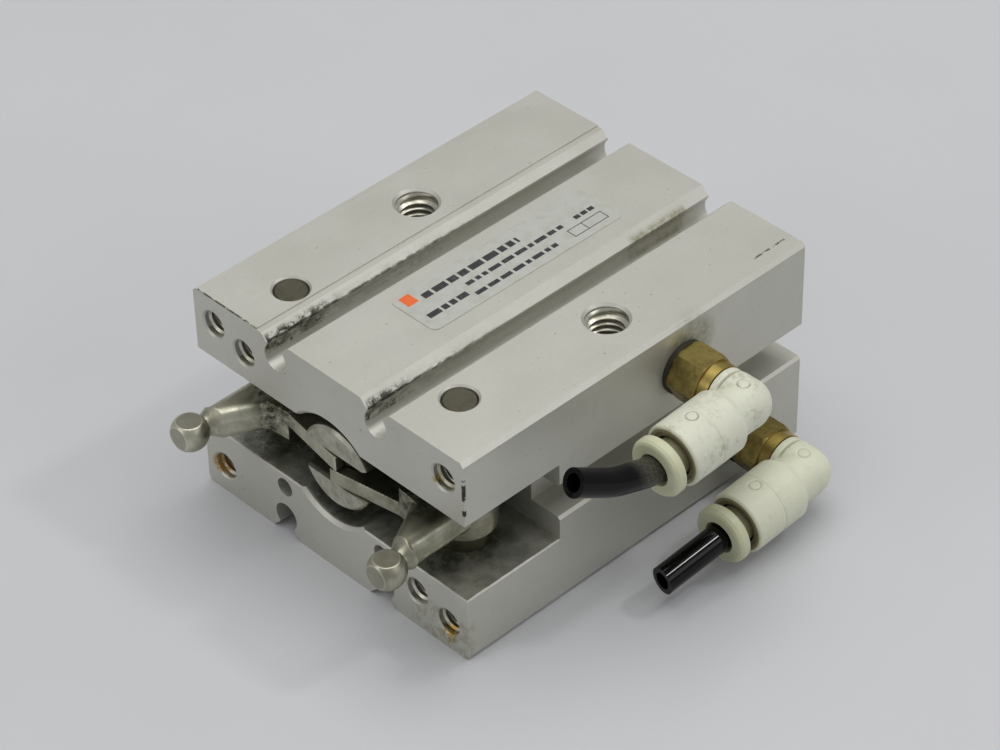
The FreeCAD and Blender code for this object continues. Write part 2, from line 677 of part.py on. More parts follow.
def make_elbow(port, drop):
    y, z = port
    base_x = HALF_W + GASKET_T + HEX_LENGTH + COLLAR_LENGTH + 0.1
    elbow = rod_x(base_x, base_x + 1.0, y, z, ELBOW_BARREL_R - 0.1)
    elbow = elbow.fuse(rod_x(base_x + 1.0, base_x + 1.35, y, z, ELBOW_BARREL_R - 0.45))
    elbow = elbow.fuse(rod_x(base_x + 1.35, ELBOW_END_X, y, z, ELBOW_BARREL_R))
    elbow = elbow.fuse(Part.makeSphere(ELBOW_BARREL_R, vec(ELBOW_END_X, y, z)))
    round_r = 0.7
    socket = turned([
        (0.0, ELBOW_BARREL_R), (SOCKET_START - 0.6, ELBOW_BARREL_R), (SOCKET_START, SOCKET_R - round_r),
        (SOCKET_START + 0.25, SOCKET_R - 0.25), (SOCKET_START + round_r, SOCKET_R),
        (SOCKET_END - 0.25, SOCKET_R), (SOCKET_END, SOCKET_R - 0.25),
    ])
    elbow = elbow.fuse(place_on_socket(socket, port, drop))
    inside = turned([
        (0.0, STUD_BORE_R), (TUBE_SEAT, STUD_BORE_R), (TUBE_SEAT, TUBE_R + 0.06),
        (CHAMBER_START, TUBE_R + 0.06), (CHAMBER_START, CHAMBER_R), (SOCKET_END + 1, CHAMBER_R),
    ])
    elbow = elbow.cut(place_on_socket(inside, port, drop))
    elbow = elbow.cut(rod_x(base_x - 1, ELBOW_X - 0.8, y, z, SPIGOT_R + 0.06))
    elbow = elbow.cut(rod_x(base_x, ELBOW_X, y, z, STUD_BORE_R))
    groove_x = base_x + 1.2
    relief = rod_x(groove_x - 0.6, groove_x + 0.6, y, z, SPIGOT_R + 0.4)
    return elbow.cut(relief)


def socket_ring(port, drop, s0, s1, outer, inner):
    ring = turned([(s0, outer), (s1, outer)])
    hole = turned([(s0 - 1, inner), (s1 + 1, inner)])
    return place_on_socket(ring.cut(hole), port, drop)


def make_tube_seal(port, drop):
    return socket_ring(port, drop, CHAMBER_START + 0.05, 8.6, CHAMBER_R - 0.03, TUBE_R + 0.02)


def make_collet(port, drop):
    """Split steel grip ring: four leaves around the tube, joined by a rim."""
    s0 = 8.8
    s1 = 10.6
    ring = turned([(s0, CHAMBER_R - 0.1), (s1, CHAMBER_R - 0.1)])
    hole = turned([(s0 - 1, TUBE_R + 0.03), (s0 + 0.9, TUBE_R + 0.03), (s0 + 1.3, 2.75), (s1 + 1, 2.75)])
    ring = ring.cut(hole)
    for i in range(4):
        a = math.radians(45 + 90 * i)
        slit = block(s0 - 1, s0 + 1.0, -0.3, 0.3, 0, CHAMBER_R + 1)
        slit.rotate(vec(0, 0, 0), X_AXIS, math.degrees(a))
        ring = ring.cut(slit)
    return place_on_socket(ring, port, drop)


def make_guide_ring(port, drop):
    ring = turned([(10.7, CHAMBER_R - 0.04), (SOCKET_END - 0.15, CHAMBER_R - 0.04)])
    hole = turned([(9.0, 2.95), (12.6, 2.95), (SOCKET_END + 1, 3.2)])
    return place_on_socket(ring.cut(hole), port, drop)


def make_release_button(port, drop):
    """Sleeve that pushes the grip ring open, with the round flange a finger presses."""
    s_in = 12.3
    body = turned([
        (s_in, 2.7), (BUTTON_FLANGE_START - 0.5, 2.7), (BUTTON_FLANGE_START, BUTTON_FLANGE_R - 0.35),
        (BUTTON_FLANGE_START + 0.3, BUTTON_FLANGE_R), (BUTTON_FLANGE_END - 0.55, BUTTON_FLANGE_R),
        (BUTTON_FLANGE_END - 0.15, BUTTON_FLANGE_R - 0.25), (BUTTON_FLANGE_END, BUTTON_FLANGE_R - 0.6),
    ])
    hole = turned([
        (s_in - 1, TUBE_R + 0.12), (BUTTON_FLANGE_END - 0.6, TUBE_R + 0.12),
        (BUTTON_FLANGE_END + 0.4, TUBE_R + 0.6),
    ])
    return place_on_socket(body.cut(hole), port, drop)


def straight_tube(s0, s1, port, drop, bevel):
    """Tube stub with its free end cut off at a slant."""
    tube = turned([(s0, TUBE_R), (s1, TUBE_R)])
    hole = turned([(s0 - 1, TUBE_BORE_R), (s1 + 1, TUBE_BORE_R)])
    tube = tube.cut(hole)
    wedge = prism([(s1 + 1, 3, -3), (s1 + 1, -3, -3), (s1 - bevel, -3, -3), (s1, 3, -3)], vec(0, 0, 6))
    return place_on_socket(tube.cut(wedge), port, drop)


def tube_path(points, radii):
    """Straight runs joined by tangent arcs, one radius for each inner point."""
    edges = []
    last = points[0]
    for i in range(1, len(points) - 1):
        corner = points[i]
        before = corner.sub(points[i - 1]).normalize()
        after = points[i + 1].sub(corner).normalize()
        half_turn = before.getAngle(after) / 2
        back = radii[i - 1] * math.tan(half_turn)
        start = corner.sub(vec(before.x * back, before.y * back, before.z * back))
        end = corner.add(vec(after.x * back, after.y * back, after.z * back))
        inward = after.sub(before).normalize()
        depth = radii[i - 1] * (1 / math.cos(half_turn) - 1)
        middle = corner.add(vec(inward.x * depth, inward.y * depth, inward.z * depth))
        edges.append(Part.LineSegment(last, start).toShape())
        edges.append(Part.Arc(start, middle, end).toShape())
        last = end
    edges.append(Part.LineSegment(last, points[-1]).toShape())
    return Part.Wire(edges)


def bent_tube(port, drop):
    """Upper tube stub: it leaves the fitting straight and then bends up and towards the housing."""
    y, z = port
    a = math.radians(drop)
    start = vec(ELBOW_X, y - TUBE_SEAT * math.cos(a), z - TUBE_SEAT * math.sin(a))
    corner = vec(ELBOW_X, y - 17.2 * math.cos(a), z - 17.2 * math.sin(a))
    knee = vec(ELBOW_X - 0.5, y - 24.0, z + 1.0)
    end = vec(ELBOW_X - 1.5, y - 30.1, z + 4.1)
    path = tube_path([start, corner, knee, end], [11.0, 16.0])
    direction = corner.sub(start)
    outer = Part.Wire(Part.makeCircle(TUBE_R, start, direction))
    inner = Part.Wire(Part.makeCircle(TUBE_BORE_R, start, direction))
    solid = path.makePipeShell([outer], True, False)
    hole = path.makePipeShell([inner], True, False)
    return solid.cut(hole)


def make_fitting(name, port, drop, tube):
    export(name + "_port_stud", make_port_stud(port))
    export(name + "_port_gasket", make_port_gasket(port))
    export(name + "_stud_oring", make_stud_oring(port))
    export(name + "_elbow", make_elbow(port, drop))
    export(name + "_tube_seal", make_tube_seal(port, drop))
    export(name + "_collet", make_collet(port, drop))
    export(name + "_guide_ring", make_guide_ring(port, drop))
    export(name + "_release_button", make_release_button(port, drop))
    export(name + "_air_tube", tube)


def main():
    os.makedirs("parts", exist_ok=True)
    export("body_housing", make_housing())
    export("rating_label", make_label())
    export("rod_cover", make_rod_cover())
    export("rod_cover_oring", make_cover_oring())
    export("rod_seal", make_rod_seal())
    export("front_bumper", make_front_bumper())
    export("piston", make_piston())
    export("piston_seal", make_piston_seal())
    export("magnet_ring", make_magnet_ring())
    export("wear_ring", make_wear_ring())
    export("piston_rod", make_piston_rod())
    export("rod_nut", make_rod_nut())
    export("joint_pin", make_joint_pin())
    export("rear_bumper", make_rear_bumper())
    export("end_cap", make_end_cap())
    export("cap_gasket", make_cap_gasket())
    export("retaining_ring", make_retaining_ring())
    for name, side in (("left", -1), ("right", 1)):
        export(name + "_lever", make_lever(side))
        export(name + "_lever_shaft", make_lever_shaft(side))
        export(name + "_lever_bush", make_lever_bush(side))
    export("lever_spacers", make_lever_spacers())
    make_fitting("upper", UPPER_PORT, UPPER_DROP, bent_tube(UPPER_PORT, UPPER_DROP))
    lower_tube = straight_tube(TUBE_SEAT, LOWER_TUBE_END, LOWER_PORT, LOWER_DROP, LOWER_TUBE_BEVEL)
    make_fitting("lower", LOWER_PORT, LOWER_DROP, lower_tube)


main()
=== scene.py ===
import bmesh
import bpy
import math
import random
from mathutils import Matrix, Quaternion, Vector


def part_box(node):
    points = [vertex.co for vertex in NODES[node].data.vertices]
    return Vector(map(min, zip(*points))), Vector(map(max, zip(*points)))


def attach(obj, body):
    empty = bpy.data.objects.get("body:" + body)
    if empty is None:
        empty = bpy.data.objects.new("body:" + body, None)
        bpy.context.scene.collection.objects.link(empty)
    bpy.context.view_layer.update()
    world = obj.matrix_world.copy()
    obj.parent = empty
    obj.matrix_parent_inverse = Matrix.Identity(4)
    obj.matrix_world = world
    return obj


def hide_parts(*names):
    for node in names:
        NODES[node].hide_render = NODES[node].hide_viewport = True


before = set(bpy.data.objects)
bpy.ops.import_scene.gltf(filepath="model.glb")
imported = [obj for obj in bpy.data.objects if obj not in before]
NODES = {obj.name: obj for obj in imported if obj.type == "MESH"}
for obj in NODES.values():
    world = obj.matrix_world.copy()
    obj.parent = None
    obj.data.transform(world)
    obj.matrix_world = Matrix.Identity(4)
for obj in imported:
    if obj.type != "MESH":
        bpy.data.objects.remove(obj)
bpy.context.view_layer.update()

# The object is a gripper actuator: +X to its right seen from the lever end, +Y to its rear, +Z up.
MM = 0.001
HOUSING_LOW, HOUSING_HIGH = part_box("body_housing")
TOP = HOUSING_HIGH.z
FRONT = HOUSING_LOW.y
REAR = HOUSING_HIGH.y
SIDE = HOUSING_HIGH.x
MIDDLE = (HOUSING_LOW.z + TOP) / 2
# The same faces in millimetres, which is what the materials' coordinates are in.
TOP_MM, FRONT_MM, SIDE_MM, MIDDLE_MM = (v / MM for v in (TOP, FRONT, SIDE, MIDDLE))

AXIS_X = Vector((1, 0, 0))
AXIS_Y = Vector((0, 1, 0))
AXIS_Z = Vector((0, 0, 1))


# ---------------------------------------------------------------- materials

def shade(red, green, blue):
    """A colour given as on screen, 0 to 255, in the linear values that a shader takes."""
    linear = []
    for value in (red, green, blue):
        v = value / 255
        linear.append(v / 12.92 if v <= 0.04045 else ((v + 0.055) / 1.055) ** 2.4)
    return (*linear, 1.0)


class Finish:
    """Builds one procedural material. Its coordinates are the object's own, in millimetres."""

    def __init__(self, name, **sockets):
        self.material = bpy.data.materials.new(name)
        self.material.use_nodes = True
        self.tree = self.material.node_tree
        self.tree.nodes.clear()
        output = self.tree.nodes.new("ShaderNodeOutputMaterial")
        self.shader = self.tree.nodes.new("ShaderNodeBsdfPrincipled")
        self.tree.links.new(self.shader.outputs[0], output.inputs["Surface"])
        for socket, value in sockets.items():
            self.shader.inputs[socket.replace("_", " ")].default_value = value
        coordinate = self.tree.nodes.new("ShaderNodeTexCoord")
        scaled = self.tree.nodes.new("ShaderNodeVectorMath")
        scaled.operation = "SCALE"
        scaled.inputs["Scale"].default_value = 1 / MM
        self.tree.links.new(coordinate.outputs["Object"], scaled.inputs[0])
        self.place = scaled.outputs[0]
        parts = self.tree.nodes.new("ShaderNodeSeparateXYZ")
        self.tree.links.new(self.place, parts.inputs[0])
        self.x, self.y, self.z = parts.outputs

    def put(self, socket, value):
        """Sets an input to a number or colour, or links it to another node's output."""
        if isinstance(value, bpy.types.NodeSocket):
            self.tree.links.new(value, socket)
        else:
            socket.default_value = value

    def math(self, operation, a, b=0.0, clamp=False):
        node = self.tree.nodes.new("ShaderNodeMath")
        node.operation = operation
        node.use_clamp = clamp
        self.put(node.inputs[0], a)
        self.put(node.inputs[1], b)
        return node.outputs[0]

    def times(self, *values):
        result = values[0]
        for value in values[1:]:
            result = self.math("MULTIPLY", result, value)
        return result

    def most(self, *values):
        result = values[0]
        for value in values[1:]:
            result = self.math("MAXIMUM", result, value)
        return result

    def rise(self, value, low, high):
        """0 below low, 1 above high and smooth between. With low above high it falls."""
        node = self.tree.nodes.new("ShaderNodeMapRange")
        node.interpolation_type = "SMOOTHSTEP"
        self.put(node.inputs["Value"], value)
        flip = low > high
        node.inputs["From Min"].default_value = min(low, high)
        node.inputs["From Max"].default_value = max(low, high)
        node.inputs["To Min"].default_value = 1.0 if flip else 0.0
        node.inputs["To Max"].default_value = 0.0 if flip else 1.0
        return node.outputs["Result"]

    def band(self, value, low, high, soft):
        """1 from low to high, fading over soft outside."""
        return self.times(self.rise(value, low - soft, low), self.rise(value, high + soft, high))

    def inside(self, xs=None, ys=None, zs=None, soft=0.2):
        """1 in a box of millimetres, fading over soft outside it."""
        spans = ((self.x, xs), (self.y, ys), (self.z, zs))
        return self.times(*[self.band(v, *span, soft) for v, span in spans if span])

    def far(self, centre):
        """Distance from a point, in millimetres."""
        node = self.tree.nodes.new("ShaderNodeVectorMath")
        node.operation = "DISTANCE"
        self.put(node.inputs[0], self.place)
        node.inputs[1].default_value = centre
        return node.outputs["Value"]

    def near(self, centre, full, none):
        """1 within full millimetres of a point, 0 beyond none."""
        return self.rise(self.far(centre), none, full)

    def noise(self, per_mm, detail=3.0, rough=0.55, stretch=(1, 1, 1), shift=0.0):
        """Noise from 0 to 1 of per_mm features a millimetre. Another shift gives another pattern."""
        mapping = self.tree.nodes.new("ShaderNodeMapping")
        self.put(mapping.inputs["Vector"], self.place)
        mapping.inputs["Scale"].default_value = stretch
        mapping.inputs["Location"].default_value = (shift, shift * 0.7, shift * 1.3)
        node = self.tree.nodes.new("ShaderNodeTexNoise")
        self.put(node.inputs["Vector"], mapping.outputs[0])
        node.inputs["Scale"].default_value = per_mm
        node.inputs["Detail"].default_value = detail
        node.inputs["Roughness"].default_value = rough
        return node.outputs["Fac"]

    def mix(self, amount, a, b):
        """The colour a where amount is 0, b where it is 1."""
        node = self.tree.nodes.new("ShaderNodeMix")
        node.data_type = "RGBA"
        self.put(node.inputs[0], amount)
        self.put(node.inputs[6], a)
        self.put(node.inputs[7], b)
        return node.outputs[2]

    def span(self, amount, a, b):
        """The number a where amount is 0, b where it is 1."""
        node = self.tree.nodes.new("ShaderNodeMix")
        self.put(node.inputs[0], amount)
        self.put(node.inputs[2], a)
        self.put(node.inputs[3], b)
        return node.outputs[0]

    def bump(self, height, strength, distance_mm):
        """Adds a bump on top of those already there."""
        node = self.tree.nodes.new("ShaderNodeBump")
        self.put(node.inputs["Height"], height)
        node.inputs["Strength"].default_value = strength
        node.inputs["Distance"].default_value = distance_mm * MM
        if self.shader.inputs["Normal"].is_linked:
            self.put(node.inputs["Normal"], self.shader.inputs["Normal"].links[0].from_socket)
        self.tree.links.new(node.outputs[0], self.shader.inputs["Normal"])

    def finish(self, colour, rough, metallic=None):
        """Gives the shader its main inputs, and returns the material."""
        self.put(self.shader.inputs["Base Color"], colour)
        self.put(self.shader.inputs["Roughness"], rough)
        if metallic is not None:
            self.put(self.shader.inputs["Metallic"], metallic)
        return self.material


# Dirt, oil and stains.
GRIME = shade(40, 39, 28)
OLIVE = shade(92, 91, 68)
OILY = shade(88, 90, 74)
DREGS = shade(58, 57, 40)
OIL_ON_STEEL = shade(66, 65, 46)
OIL_ON_ROD = shade(72, 71, 58)
RUST = shade(158, 116, 22)
YELLOW = shade(174, 138, 26)
TEA = shade(114, 111, 62)
DUST = shade(104, 101, 88)

# What else shows on a surface: film, grain and drawing lines, wear, the inside of mouldings, and painted
# light on the knobs.
HOUSING_FILM = shade(172, 170, 156)
HOUSING_GRAIN = shade(160, 158, 149)
HOUSING_DRAWN = shade(156, 154, 144)
SLOT_FILM = shade(156, 156, 142)
# The knobs' painted reflection on their ground flats, and the painted highlight on the flats' rims.
PAINTED_FLAT_REFLECTION = shade(128, 124, 112)
PAINTED_RIM_HIGHLIGHT = shade(232, 231, 214)
BRASS_SPOT = shade(72, 62, 36)
BRASS_COLLAR = shade(192, 168, 96)
RUBBER_BLOOM = shade(88, 86, 78)
RESIN_SPECK = shade(84, 84, 58)
SOCKET_INSIDE = shade(122, 112, 80)
MARK_GROOVE = shade(92, 88, 66)
BUTTON_SHANK = shade(112, 104, 74)

# Each material's own tone, and the one that its blotches, smudges or wear lean to.
IVORY_BUTTON = (shade(192, 194, 162), shade(168, 166, 128))
TONES = {
    "anodised_housing": (shade(194, 193, 184), shade(199, 198, 190)),
    "turned_aluminium": (shade(192, 191, 184), shade(172, 171, 162)),
    "dark_ground_pin": (shade(112, 109, 93), shade(90, 88, 74)),
    "sintered_bronze": (shade(150, 118, 68), shade(112, 86, 50)),
    "black_spring_steel": (shade(46, 45, 44), shade(30, 29, 28)),
    "pressed_stainless": (shade(176, 174, 168), shade(140, 138, 132)),
    "thread_metal": (shade(214, 213, 202), shade(176, 173, 156)),
    # The levers are one steel: the left one's lighter tones are painted light on its lit top, the right one's
    # darker tones painted shade.
    "satin_lever_steel_painted_light_left": (shade(198, 197, 179), shade(176, 174, 155)),
    "satin_lever_steel_painted_light_right": (shade(172, 171, 154), shade(148, 146, 129)),
    "ground_rod": (shade(186, 185, 172), shade(150, 149, 134)),
    "tarnished_brass": (shade(168, 152, 92), shade(122, 108, 62)),
    "black_nylon_tube": (shade(5, 5, 5), shade(36, 35, 31)),
    "port_ring": (shade(40, 36, 24), RUBBER_BLOOM),
    "black_nitrile": (shade(20, 20, 20), RUBBER_BLOOM),
    "urethane": (shade(112, 98, 62), RUBBER_BLOOM),
    "filled_resin": (shade(122, 108, 84), RUBBER_BLOOM),
    "khaki_resin": (shade(118, 110, 80), shade(86, 78, 52)),
    "ivory_button_upper": IVORY_BUTTON,
    "ivory_button_lower": IVORY_BUTTON,
    "grimy_elbow": (shade(207, 208, 190), shade(136, 136, 98)),
    "ivory_elbow": (shade(207, 209, 187), shade(178, 176, 144)),
    "rating_label_film": (shade(189, 190, 183), shade(180, 180, 171)),
    "print_black": (shade(34, 34, 36), shade(84, 84, 84)),
    "print_orange": (shade(222, 98, 34), shade(226, 118, 62)),
    "pale_floor": (shade(189, 190, 193), shade(195, 196, 199)),
}


# Specks are where their noise is over a limit, which is lower by SPECK_SPREAD where the surface is dirtiest.
SPECK_LIMIT = 0.64
SPECK_SPREAD = 0.22


def specks(f, shift, share, soft=0.10):
    """Fine black dirt: share, a number or a socket from 0 to 1, says how much of the surface it covers."""
    coarse = f.noise(0.7, 6.0, 0.7, shift=shift)
    fine = f.noise(4.2, 6.0, 0.75, shift=shift + 5)
    both = f.math("ADD", f.times(coarse, 0.6), f.times(fine, 0.4))
    level = f.math("SUBTRACT", f.math("ADD", both, f.times(share, SPECK_SPREAD)), SPECK_LIMIT)
    return f.rise(level, 0.0, soft)


# The sensor grooves in millimetres: how far from the middle they lie, half widths of mouth and neck, the
# neck's top below the face, the depth to which the wall is dirty, and for each top groove where along the
# housing its heavy grime and its light grime end.
GROOVE_X = 9.7
GROOVE_MOUTH = 2.75
GROOVE_NECK = 1.5
GROOVE_FLARE = 1.25
GROOVE_DIRTY = 3.6
LEFT_GRIME = (-20.0, 10.0)
RIGHT_GRIME = (-24.5, -4.0)


def groove_grime(f, centre_x, heavy_to, light_to):
    """Black and olive grime masks of a sensor groove: a line under the left flank, smears near the front."""
    behind_face = f.rise(f.y, FRONT_MM + 0.05, FRONT_MM + 0.3)
    neck_top = TOP_MM - GROOVE_FLARE
    neck_left = centre_x - GROOVE_NECK
    mouth_left, mouth_right = centre_x - GROOVE_MOUTH, centre_x + GROOVE_MOUTH
    fading = f.rise(f.y, light_to, light_to - 14)
    heavy = f.rise(f.y, heavy_to + 3, heavy_to - 5)
    line = f.inside((neck_left - 0.1, neck_left + 0.3), None, (neck_top - 0.22, neck_top + 0.06), 0.14)
    flank = f.inside((mouth_left + 0.1, neck_left + 0.2), None, (neck_top - 0.2, TOP_MM - 0.15), 0.3)
    low_flank = f.times(flank, f.rise(f.z, TOP_MM - 0.3, neck_top + 0.2))
    wall = f.inside((mouth_left, mouth_right), None, (TOP_MM - GROOVE_DIRTY, neck_top), 0.4)
    broken = f.rise(f.noise(1.3, 6.0, 0.7, (1, 0.5, 1), 9.0), 0.40, 0.58)
    black = f.most(f.times(line, fading, f.math("ADD", f.times(broken, 0.7), f.times(heavy, 0.5), True)),
                   f.times(low_flank, heavy, specks(f, centre_x, 0.72, 0.05)),
                   f.times(wall, heavy, specks(f, centre_x + 3, 0.55, 0.05)))
    olive = f.times(f.most(wall, f.times(low_flank, 0.6)), f.most(heavy, f.times(fading, 0.35)), broken, 0.75)
    return f.times(black, behind_face), f.times(olive, behind_face)


# Stains at three tapped holes, in millimetres: to the right, behind the front face, and up.
RUSTY_SPOT = (-23.4, 0.9, 4.2)
YELLOW_SPOT = (22.2, 0.3, 2.6)
TRACE_SPOT = (20.9, 0.4, 28.3)


def hole_rust(f):
    """Masks of the rust in the lower left front hole and the yellow stains at two right front holes."""
    def spot(place, full, none):
        x, behind_front, z = place
        return f.near((x, FRONT_MM + behind_front, z), full, none)

    broken = f.noise(1.6, 5.0, 0.7, shift=51.0)
    stains = f.most(spot(YELLOW_SPOT, 1.0, 1.9), spot(TRACE_SPOT, 0.3, 1.1))
    return (f.times(spot(RUSTY_SPOT, 1.3, 2.2), f.rise(broken, 0.36, 0.50), 0.9),
            f.times(stains, f.rise(broken, 0.44, 0.52), 0.9))


# The openings in the housing's front in millimetres: the lever slot's depth and half height, the round
# recess's half width and depth. Oil gathers round the levers' hubs and in the middle, at places given as
# millimetres to the side, behind the front face and above mid height.
SLOT_DEPTH = 16.95
SLOT_HALF = 6.4
RECESS_HALF = 8.7
RECESS_DEPTH = 21.0
OILY_HUB = (15.0, 7.0, -6.0)
OILY_MIDDLE = (0.0, 10.0, -4.0)


def front_place(side, place):
    """A point in millimetres, from how far to the side, behind the front face and above mid height it is."""
    across, back, up = place
    return (side * across, FRONT_MM + back, MIDDLE_MM + up)


def slot_masks(f):
    """Masks of the lever slot with its recess, and of where most oil gathers in it."""
    slot = f.inside(None, (FRONT_MM + 0.15, FRONT_MM + SLOT_DEPTH),
                    (MIDDLE_MM - SLOT_HALF, MIDDLE_MM + SLOT_HALF), 0.08)
    recess = f.inside((-RECESS_HALF, RECESS_HALF), (FRONT_MM + 0.9, FRONT_MM + RECESS_DEPTH),
                      (MIDDLE_MM - RECESS_HALF, MIDDLE_MM + RECESS_HALF), 0.3)
    hubs = [f.near(front_place(side, OILY_HUB), 4.0, 10.0) for side in (-1, 1)]
    middle = f.near(front_place(1, OILY_MIDDLE), 6.0, 14.0)
    return f.most(slot, recess), f.most(f.most(*hubs), middle)


# Single marks, in millimetres to the right, along and up: where the dark front edge ends, the scratch on the
# top face, how high the nicks in the front corner reach, and the speckled corner below.
DARK_EDGE_END = -13.2
SCRATCH_X, SCRATCH_Y = (23.28, 23.5), (24.6, 30.6)
NICKS_Z = (25.4, 31.2)
SPECKLED_FROM_X, SPECKLED_Z = 18.0, (0.0, 4.0)


def black_marks(f):
    """Mask of single marks: dark front edge, scratch near the rear, nicks down the right front corner."""
    face = (TOP_MM - 0.1, TOP_MM + 1)
    broken = f.noise(0.9, 5.0, 0.75, shift=33.0)
    edge = f.inside((-SIDE_MM + 1, DARK_EDGE_END), (FRONT_MM - 0.2, FRONT_MM + 0.16), face, 0.08)
    edge = f.times(edge, f.rise(broken, 0.40, 0.52), 0.9)
    scratch = f.inside(SCRATCH_X, SCRATCH_Y, face, 0.12)
    scratch = f.times(scratch, f.rise(broken, 0.44, 0.56), 0.85)
    nicks = f.inside((SIDE_MM - 0.3, SIDE_MM + 1), (FRONT_MM - 1, FRONT_MM + 0.25), NICKS_Z, 0.2)
    nicks = f.times(nicks, f.rise(f.noise(1.4, 4.0, 0.6, (0.2, 0.2, 0.45), 5.0), 0.44, 0.52))
    corner = f.inside((SPECKLED_FROM_X, SIDE_MM + 1), (FRONT_MM - 1, FRONT_MM + 0.4), SPECKLED_Z, 1.5)
    corner = f.times(corner, specks(f, 27.0, 0.12), 0.6)
    bits = f.rise(f.noise(1.9, 2.0, 0.5, shift=44.0), 0.735, 0.76)
    return f.most(edge, scratch, nicks, corner, f.times(bits, 0.5))


# Brown stains, in millimetres to the right, along and up: at the upper port on the side, on the flank of the
# right groove and its edge, and low on the front.
PORT_STAIN = (9.6, 29.6)
FLANK_STAIN_X, FLANK_STAIN_Y = (8.0, 12.3), (17.0, 27.0)
FOOT_STAIN_FROM_X, FOOT_STAIN_Z = 16.0, (0.0, 5.5)


def brown_stains(f):
    """Mask of brown stains: at the upper port, at the rear of a groove, at the foot of the right front."""
    wet = f.noise(0.9, 5.0, 0.65, shift=51.0)
    patchy = f.rise(wet, 0.30, 0.70)
    port = f.times(f.near((SIDE_MM, *PORT_STAIN), 2.6, 5.4), f.span(patchy, 0.25, 0.7))
    rear = f.inside(FLANK_STAIN_X, FLANK_STAIN_Y, (TOP_MM - 4, TOP_MM - 0.6), 0.7)
    rear = f.times(rear, f.span(patchy, 0.15, 0.75))
    foot = f.inside((FOOT_STAIN_FROM_X, SIDE_MM), (FRONT_MM - 1, FRONT_MM + 0.4), FOOT_STAIN_Z, 1.5)
    return f.most(port, rear, f.times(foot, f.rise(wet, 0.4, 0.7), 0.45))


def make_housing_finish():
    """Anodised aluminium with film, grain and drawing lines, oiled slot, dirty grooves and single marks."""
    name = "anodised_housing"
    f = Finish(name, Specular_IOR_Level=0.5)
    cloud = f.noise(0.06, 3.0, 0.5)
    film = f.noise(0.25, 5.0, 0.6, (1, 0.6, 1), 4.0)
    drawn = f.noise(5.0, 3.0, 0.6, (1, 0.02, 1), 2.0)
    grain = f.noise(9.0, 2.0, 0.6, (1, 0.25, 1), 1.0)
    fine = f.noise(26.0, 2.0, 0.6)
    colour = f.mix(f.rise(cloud, 0.35, 0.65), *TONES[name])
    colour = f.mix(f.times(f.rise(film, 0.52, 0.78), 0.16), colour, HOUSING_FILM)
    colour = f.mix(f.times(f.rise(grain, 0.45, 0.7), 0.14), colour, HOUSING_GRAIN)
    colour = f.mix(f.times(f.rise(drawn, 0.5, 0.75), 0.10), colour, HOUSING_DRAWN)
    rough = f.span(f.rise(film, 0.3, 0.7), 0.47, 0.53)

    # The lever slot is oily and dark, with thick grime round the lever hubs.
    slot, deep = slot_masks(f)
    smear = f.noise(0.3, 6.0, 0.7, shift=12.0)
    oiled = f.math("ADD", f.times(f.rise(smear, 0.38, 0.62), 0.45), f.times(deep, 0.45), True)
    dregs = f.rise(f.noise(0.55, 6.0, 0.7, shift=19.0), 0.46, 0.60)
    colour = f.mix(f.times(slot, 0.30), colour, SLOT_FILM)
    colour = f.mix(f.times(slot, oiled), colour, OILY)
    colour = f.mix(f.times(slot, deep, dregs, 0.7), colour, DREGS)
    rough = f.span(slot, rough, f.span(smear, 0.26, 0.5))
    slot_dirt = f.times(slot, specks(f, 21.0, f.times(deep, 0.62)), 0.9)

    left_black, left_olive = groove_grime(f, -GROOVE_X, *LEFT_GRIME)
    right_black, right_olive = groove_grime(f, GROOVE_X, *RIGHT_GRIME)
    colour = f.mix(f.most(left_olive, right_olive), colour, OLIVE)
    dirt = f.most(slot_dirt, left_black, right_black, black_marks(f))
    colour = f.mix(dirt, colour, GRIME)
    rough = f.span(dirt, rough, 0.85)

    rust, yellow = hole_rust(f)
    colour = f.mix(rust, colour, RUST)
    colour = f.mix(yellow, colour, YELLOW)
    colour = f.mix(brown_stains(f), colour, TEA)
    f.bump(fine, 0.10, 0.02)
    f.bump(grain, 0.12, 0.03)
    f.bump(drawn, 0.08, 0.02)
    f.bump(dirt, 0.35, 0.06)
    return f.finish(colour, rough, f.span(f.most(dirt, rust), 0.72, 0.0))


def bore_radius(f):
    """Distance from the cylinder's axis, in millimetres."""
    level = f.math("SUBTRACT", f.z, MIDDLE_MM)
    return f.math("SQRT", f.math("ADD", f.times(f.x, f.x), f.times(level, level)))


def turning_rings(f, per_mm):
    return f.math("SINE", f.times(bore_radius(f), per_mm))


